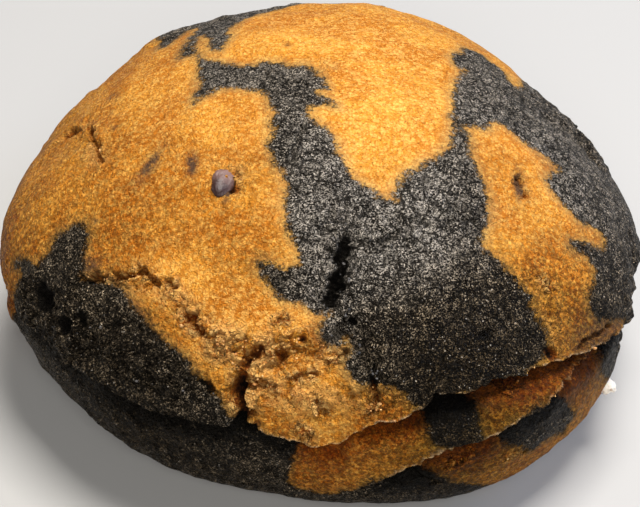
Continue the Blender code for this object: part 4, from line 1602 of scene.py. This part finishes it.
@dataclass(frozen=True)
class FloorFinish:
    """Plain pale studio floor."""

    colour: Colour = (0.38, 0.373, 0.362)
    clouding: float = 0.97
    cloud: Mottle = Mottle(0.15)
    roughness: float = 0.8

    def material(self) -> bpy.types.Material:
        """Build the floor's material.

        Returns:
            The material.
        """
        board = NodeBoard("pale_floor")
        cloudy = tuple(self.clouding * part for part in self.colour)
        tone = board.mix(board.noise(self.cloud), self.colour, cloudy)
        return board.finish(tone, self.roughness)


# ---------------------------------------------------------------- pieces


def new_object(name: str, data: bmesh.types.BMesh, smooth: bool = True) -> bpy.types.Object:
    """Put finished mesh data in the scene.

    Args:
        name: The object's name.
        data: The mesh data, which is freed.
        smooth: Whether its faces are shaded smooth.

    Returns:
        The new object.
    """
    mesh = bpy.data.meshes.new(name)
    data.to_mesh(mesh)
    data.free()
    made = bpy.data.objects.new(name, mesh)
    bpy.context.scene.collection.objects.link(made)
    if smooth:
        mesh.shade_smooth()
    return made


def lumpy(place: Vector, slow: float, quick: float, width: float) -> float:
    """Factor that swells and shrinks a round piece: slow and quick lumps, and how close the slow ones lie."""
    return 1.0 + slow * noise.noise(place * width) + quick * noise.noise(place * 5.0)


def set_attribute(target: bpy.types.Object, name: str, values: np.ndarray) -> None:
    """Store one number for each vertex of an object under a name."""
    layer = target.data.attributes.new(name, "FLOAT", "POINT")
    layer.data.foreach_set("value", np.asarray(values, dtype=np.float32))


@dataclass
class CookieCrust:
    """The cookie's visible crust, which stands for the solid."""

    body: CookieBody
    relief: CrustRelief
    marbling: Marbling
    finish: CrustFinish = CrustFinish()
    sphere_level: int = 7
    refine_within: tuple[float, ...] = (1.65, 0.735)
    dough_blend: float = 1.0

    def directions(self, data: bmesh.types.BMesh) -> tuple[np.ndarray, np.ndarray]:
        """Read which way each vertex of a unit sphere lies.

        Args:
            data: The sphere.

        Returns:
            Azimuths and polar angles in radians.
        """
        sphere = np.array([vert.co for vert in data.verts])
        sphere /= np.linalg.norm(sphere, axis=1)[:, None]
        return np.arctan2(sphere[:, 0], -sphere[:, 1]), np.arccos(np.clip(sphere[:, 2], -1.0, 1.0))

    def refine(self, data: bmesh.types.BMesh, within: float) -> None:
        """Halve the edges of the sphere near sharp features.

        Args:
            data: The unit sphere.
            within: How near, in millimetres.
        """
        azimuth, polar = self.directions(data)
        near = self.relief.detail(self.body.surface(azimuth, polar), azimuth, polar) < within
        data.verts.ensure_lookup_table()
        data.verts.index_update()
        faces = [face for face in data.faces if any(near[vert.index] for vert in face.verts)]
        edges = list({edge for face in faces for edge in face.edges})
        bmesh.ops.subdivide_edges(data, edges=edges, cuts=1, use_grid_fill=True)
        bmesh.ops.triangulate(data, faces=[face for face in data.faces if len(face.verts) > 3])

    def build(self) -> bpy.types.Object:
        """Shape the crust and store what its finish needs.

        Returns:
            The crust.
        """
        data = bmesh.new()
        bmesh.ops.create_icosphere(data, subdivisions=self.sphere_level, radius=1.0)
        for within in self.refine_within:
            self.refine(data, within)
        azimuth, polar = self.directions(data)
        body = self.body.surface(azimuth, polar)
        for vert, place in zip(data.verts, body):
            vert.co = place
        data.normal_update()
        normals = np.array([vert.normal for vert in data.verts])
        flat = self.body.flatten(azimuth, polar)
        marble = self.marbling.dark_distance(flat, body)
        measured = self.relief.measure(body, azimuth, polar, smooth_step(marble / self.dough_blend + 0.5))
        baked = body + normals * measured["height"][:, None]
        for vert, place in zip(data.verts, baked):
            vert.co = (place[0], place[1], max(place[2], 0.0))
        crust = new_object("cookie_crust", data)
        for name in ("cavity_shade", "torn", "baked", "rim", "valley_shade", "wet", "lump"):
            set_attribute(crust, name, measured[name])
        set_attribute(crust, "marble", marble)
        set_attribute(crust, "smudge_and_shade", self.marbling.smudge_and_shade_darkness(flat))
        return crust

    def dress(self, crust: bpy.types.Object) -> None:
        """Give the crust its finish and hand it to the solid's body.

        Args:
            crust: The crust.
        """
        crust.data.materials.append(self.finish.material())
        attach(crust, "root")
        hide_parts(NODE)


@dataclass
class Crumbs:
    """Loose crumbs of one dough, lying where the crust is torn."""

    dough: Dough
    finish: CrumbFinish
    count: int
    seed: int
    sizes: tuple[float, float] = (0.09 * MM, 0.25 * MM)
    torn_from: float = 0.25
    few_large: float = 2.2
    stretch: tuple[float, float] = (0.7, 1.25)
    seat: float = 0.45
    lumpiness: float = 0.45

    def places(self, crust: bpy.types.Object) -> np.ndarray:
        """Draw the vertices of the crust that carry a crumb, most of them where it is most torn.

        Args:
            crust: The crust that they lie on.

        Returns:
            Indices of its vertices.
        """
        total = len(crust.data.vertices)
        torn, marble = np.empty(total, np.float32), np.empty(total, np.float32)
        crust.data.attributes["torn"].data.foreach_get("value", torn)
        crust.data.attributes["marble"].data.foreach_get("value", marble)
        own = marble > 0.0 if self.dough is Dough.DARK else marble <= 0.0
        weight = np.where(own, np.clip(torn - self.torn_from, 0.0, 1.0) ** 1.5, 0.0).astype(float)
        draw = np.random.default_rng(self.seed)
        return draw.choice(total, size=self.count, replace=False, p=weight / weight.sum())

    def build(self, crust: bpy.types.Object) -> bpy.types.Object:
        """Make the crumbs as one mesh.

        Args:
            crust: The crust that they lie on.

        Returns:
            The crumbs.
        """
        draw = np.random.default_rng(self.seed + 1)
        data = bmesh.new()
        tones: list[float] = []
        for index in self.places(crust):
            vertex = crust.data.vertices[int(index)]
            size = self.sizes[0] + (self.sizes[1] - self.sizes[0]) * float(draw.random()) ** self.few_large
            made = bmesh.ops.create_icosphere(data, subdivisions=2, radius=1.0)["verts"]
            stretch = Vector(draw.uniform(*self.stretch, 3)) * size
            seat = vertex.co + vertex.normal * size * self.seat
            shift = Vector(draw.uniform(-9.0, 9.0, 3))
            for vert in made:
                lump = 1.0 + self.lumpiness * noise.noise(vert.co * 1.3 + shift)
                vert.co = seat + Vector(part * side for part, side in zip(vert.co * lump, stretch))
            tones.extend([float(draw.uniform(0.0, 0.7))] * len(made))
        crumbs = new_object(f"{self.dough.value}_crumbs", data, smooth=False)
        set_attribute(crumbs, "tone", np.array(tones))
        return crumbs

    def dress(self, crumbs: bpy.types.Object) -> None:
        """Give the crumbs their finish.

        Args:
            crumbs: The crumbs.
        """
        crumbs.data.materials.append(self.finish.material())
        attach(crumbs, "root")


@dataclass
class NutChip:
    """The pale chip that stands out of the lower fold on the right."""

    body: CookieBody
    finish: ChipFinish = ChipFinish()
    azimuth: float = 59.5
    polar: float = 104.5
    size: tuple[float, float, float] = (1.1 * MM, 1.5 * MM, 1.2 * MM)
    stands_out: float = 0.2 * MM
    lumps: tuple[float, float, float] = (0.18, 0.05, 1.7)

    def build(self) -> bpy.types.Object:
        """Make the chip.

        Returns:
            The chip.
        """
        data = bmesh.new()
        bmesh.ops.create_icosphere(data, subdivisions=5, radius=1.0)
        turn = math.radians(self.azimuth)
        seat = self.body.surface(np.array([turn]), np.radians(np.array([self.polar])))[0]
        outward = Vector((math.sin(turn), -math.cos(turn), 0.0))
        sideways = Vector((math.cos(turn), math.sin(turn), 0.0))
        centre = Vector(seat) + outward * self.stands_out
        toast = []
        for vert in data.verts:
            lump = lumpy(vert.co, *self.lumps)
            toast.append(max(0.0, -vert.co.y))
            reach = [side * part * lump for side, part in zip(self.size, vert.co)]
            vert.co = centre + sideways * reach[0] + outward * reach[1] + Vector((0.0, 0.0, reach[2]))
        chip = new_object("nut_chip", data)
        set_attribute(chip, "tone", np.array(toast))
        return chip

    def dress(self, chip: bpy.types.Object) -> None:
        """Give the chip its finish.

        Args:
            chip: The chip.
        """
        chip.data.materials.append(self.finish.material())
        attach(chip, "root")
        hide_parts(NODE)


@dataclass(frozen=True)
class FruitFinish:
    """Glossy baked fruit: mauve at its upper end, darkening to almost black towards its lower end with painted
    shade.
    """

    dry: Colour = (0.155, 0.082, 0.066)
    # Painted shade at the fruit's lower end.
    sunk: Colour = (0.030, 0.012, 0.010)
    roughness: float = 0.50
    bump: float = 0.10 * MM
    mottle: Mottle = Mottle(0.7 * MM)
    grain: Mottle = Mottle(0.3 * MM)

    def material(self) -> bpy.types.Material:
        """Build the fruit's material.

        Returns:
            The material.
        """
        board = NodeBoard("baked_fruit")
        tone = board.scaled(board.noise(self.mottle), 0.5, board.attribute("tone"))
        colour = board.mix(board.remap(tone, 0.30, 1.0), self.dry, self.sunk)
        return board.finish(colour, self.roughness, board.bump(board.noise(self.grain), self.bump))


@dataclass
class InsetFruit:
    """The small piece of fruit that is sunk in the gold crust, left of the dark tongue."""

    body: CookieBody
    finish: FruitFinish = FruitFinish()
    ends: tuple[CrustPoint, CrustPoint] = ((-10.7, -11.9), (-11.9, -15.6))
    half_width: float = 1.4 * MM
    half_height: float = 0.70 * MM
    sunk: float = 0.52 * MM
    narrowing: float = 0.25
    lumps: tuple[float, float, float] = (0.16, 0.04, 1.6)

    def build(self, crust: bpy.types.Object) -> bpy.types.Object:
        """Make the fruit.

        Args:
            crust: The crust that it is sunk in.

        Returns:
            The fruit.
        """
        first, last = (Vector(place) for place in self.body.at(self.ends))
        _, seat, outward, _ = crust.closest_point_on_mesh((first + last) / 2.0)
        outward = (outward + Vector((0.0, 0.0, 1.0))).normalized()
        along = (last - first).normalized()
        half_length = (last - first).length / 2.0
        sideways = outward.cross(along).normalized()
        data = bmesh.new()
        bmesh.ops.create_icosphere(data, subdivisions=5, radius=1.0)
        tones = []
        for vert in data.verts:
            lump = lumpy(vert.co, *self.lumps)
            narrow = 1.0 - self.narrowing * vert.co.x
            # Tone runs along the fruit, darkest at its lower end: painted shade.
            tones.append(0.5 + 0.5 * vert.co.x)
            place = along * half_length * vert.co.x + sideways * self.half_width * narrow * vert.co.y
            place += outward * self.half_height * vert.co.z
            vert.co = seat - outward * self.sunk + place * lump
        fruit = new_object("inset_fruit", data)
        set_attribute(fruit, "tone", np.array(tones))
        return fruit

    def dress(self, fruit: bpy.types.Object) -> None:
        """Give the fruit its finish.

        Args:
            fruit: The fruit.
        """
        fruit.data.materials.append(self.finish.material())
        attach(fruit, "root")
        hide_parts(NODE)


# ---------------------------------------------------------------- studio


@dataclass(frozen=True)
class Lamp:
    """A soft square light: place and aim in metres, side, power in watts, and colour."""

    name: str
    place: tuple[float, float, float]
    side: float
    power: float
    colour: Colour = (1.0, 1.0, 1.0)

    def build(self, aim: Vector) -> None:
        """Hang the light and turn it to a point.

        Args:
            aim: The point, in metres.
        """
        data = bpy.data.lights.new(self.name, "AREA")
        data.size = self.side
        data.energy = self.power
        data.color = self.colour
        light = bpy.data.objects.new(self.name, data)
        light.location = self.place
        light.rotation_euler = (aim - Vector(self.place)).to_track_quat("-Z", "Y").to_euler()
        bpy.context.scene.collection.objects.link(light)


@dataclass
class Studio:
    """Plain pale floor, soft light and the camera."""

    floor_finish: FloorFinish = FloorFinish()
    floor_side: float = 6.0
    camera_aim: tuple[float, float, float] = (-0.01 * MM, -0.57 * MM, 13.6 * MM)
    camera_distance: float = 270.0 * MM
    camera_elevation: float = 43.0
    lens: float = 103.3
    sensor: float = 36.0
    sky: Colour = (0.94, 0.96, 1.0)
    sky_strength: float = 0.07
    lamps: Sequence[Lamp] = (
        Lamp("key", (0.10, 0.08, 0.61), 0.24, 6.55, (1.0, 0.97, 0.93)),
        Lamp("fill", (0.02, -0.55, 0.48), 0.34, 3.6, (1.0, 0.98, 0.95)),
        Lamp("side", (0.60, 0.16, 0.26), 0.40, 2.5, (0.42, 0.60, 1.0)),
    )

    def build_floor(self) -> None:
        """Lay the floor under the cookie."""
        data = bmesh.new()
        bmesh.ops.create_grid(data, x_segments=1, y_segments=1, size=self.floor_side / 2.0)
        floor = new_object("floor", data, smooth=False)
        floor.data.materials.append(self.floor_finish.material())

    def build_light(self) -> None:
        """Hang the lamps and set a dim even sky."""
        for lamp in self.lamps:
            lamp.build(Vector(self.camera_aim))
        world = bpy.data.worlds.new("studio")
        world.use_nodes = True
        sky = world.node_tree.nodes["Background"]
        sky.inputs["Color"].default_value = (*self.sky, 1.0)
        sky.inputs["Strength"].default_value = self.sky_strength
        bpy.context.scene.world = world
        bpy.context.scene.view_settings.view_transform = "Standard"

    def build_camera(self) -> None:
        """Place the camera in front of the cookie, looking down on it."""
        data = bpy.data.cameras.new("camera")
        data.lens = self.lens
        data.sensor_width = self.sensor
        data.clip_start = 0.01
        camera = bpy.data.objects.new("camera", data)
        rise = math.radians(self.camera_elevation)
        back = Vector((0.0, -math.cos(rise), math.sin(rise)))
        camera.location = Vector(self.camera_aim) + back * self.camera_distance
        camera.rotation_euler = (-back).to_track_quat("-Z", "Y").to_euler()
        bpy.context.scene.collection.objects.link(camera)
        bpy.context.scene.camera = camera


def report(piece: bpy.types.Object) -> None:
    """Log a finished piece."""
    LOG.info("%s: %d triangles", piece.name, len(piece.data.polygons))


def main() -> None:
    """Build the studio and every piece of the cookie in order."""
    logging.basicConfig(level=logging.INFO, format="%(message)s")
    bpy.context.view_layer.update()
    studio = Studio()
    studio.build_floor()
    studio.build_light()
    studio.build_camera()

    body = CookieBody()
    cookie = CookieCrust(body, CrustRelief(body), Marbling())
    crust = cookie.build()
    cookie.dress(crust)
    report(crust)

    gold = CrumbFinish(Dough.GOLD, low=(0.40, 0.17, 0.04), high=(0.86, 0.52, 0.20))
    dark = CrumbFinish(Dough.DARK, low=(0.010, 0.009, 0.009), high=(0.11, 0.10, 0.095))
    for kind in (Crumbs(Dough.GOLD, gold, count=120, seed=11), Crumbs(Dough.DARK, dark, count=90, seed=23)):
        crumbs = kind.build(crust)
        kind.dress(crumbs)
        report(crumbs)

    nut = NutChip(body)
    chip = nut.build()
    nut.dress(chip)
    report(chip)

    inset = InsetFruit(body)
    fruit = inset.build(crust)
    inset.dress(fruit)
    report(fruit)


if __name__ == "__main__":
    main()
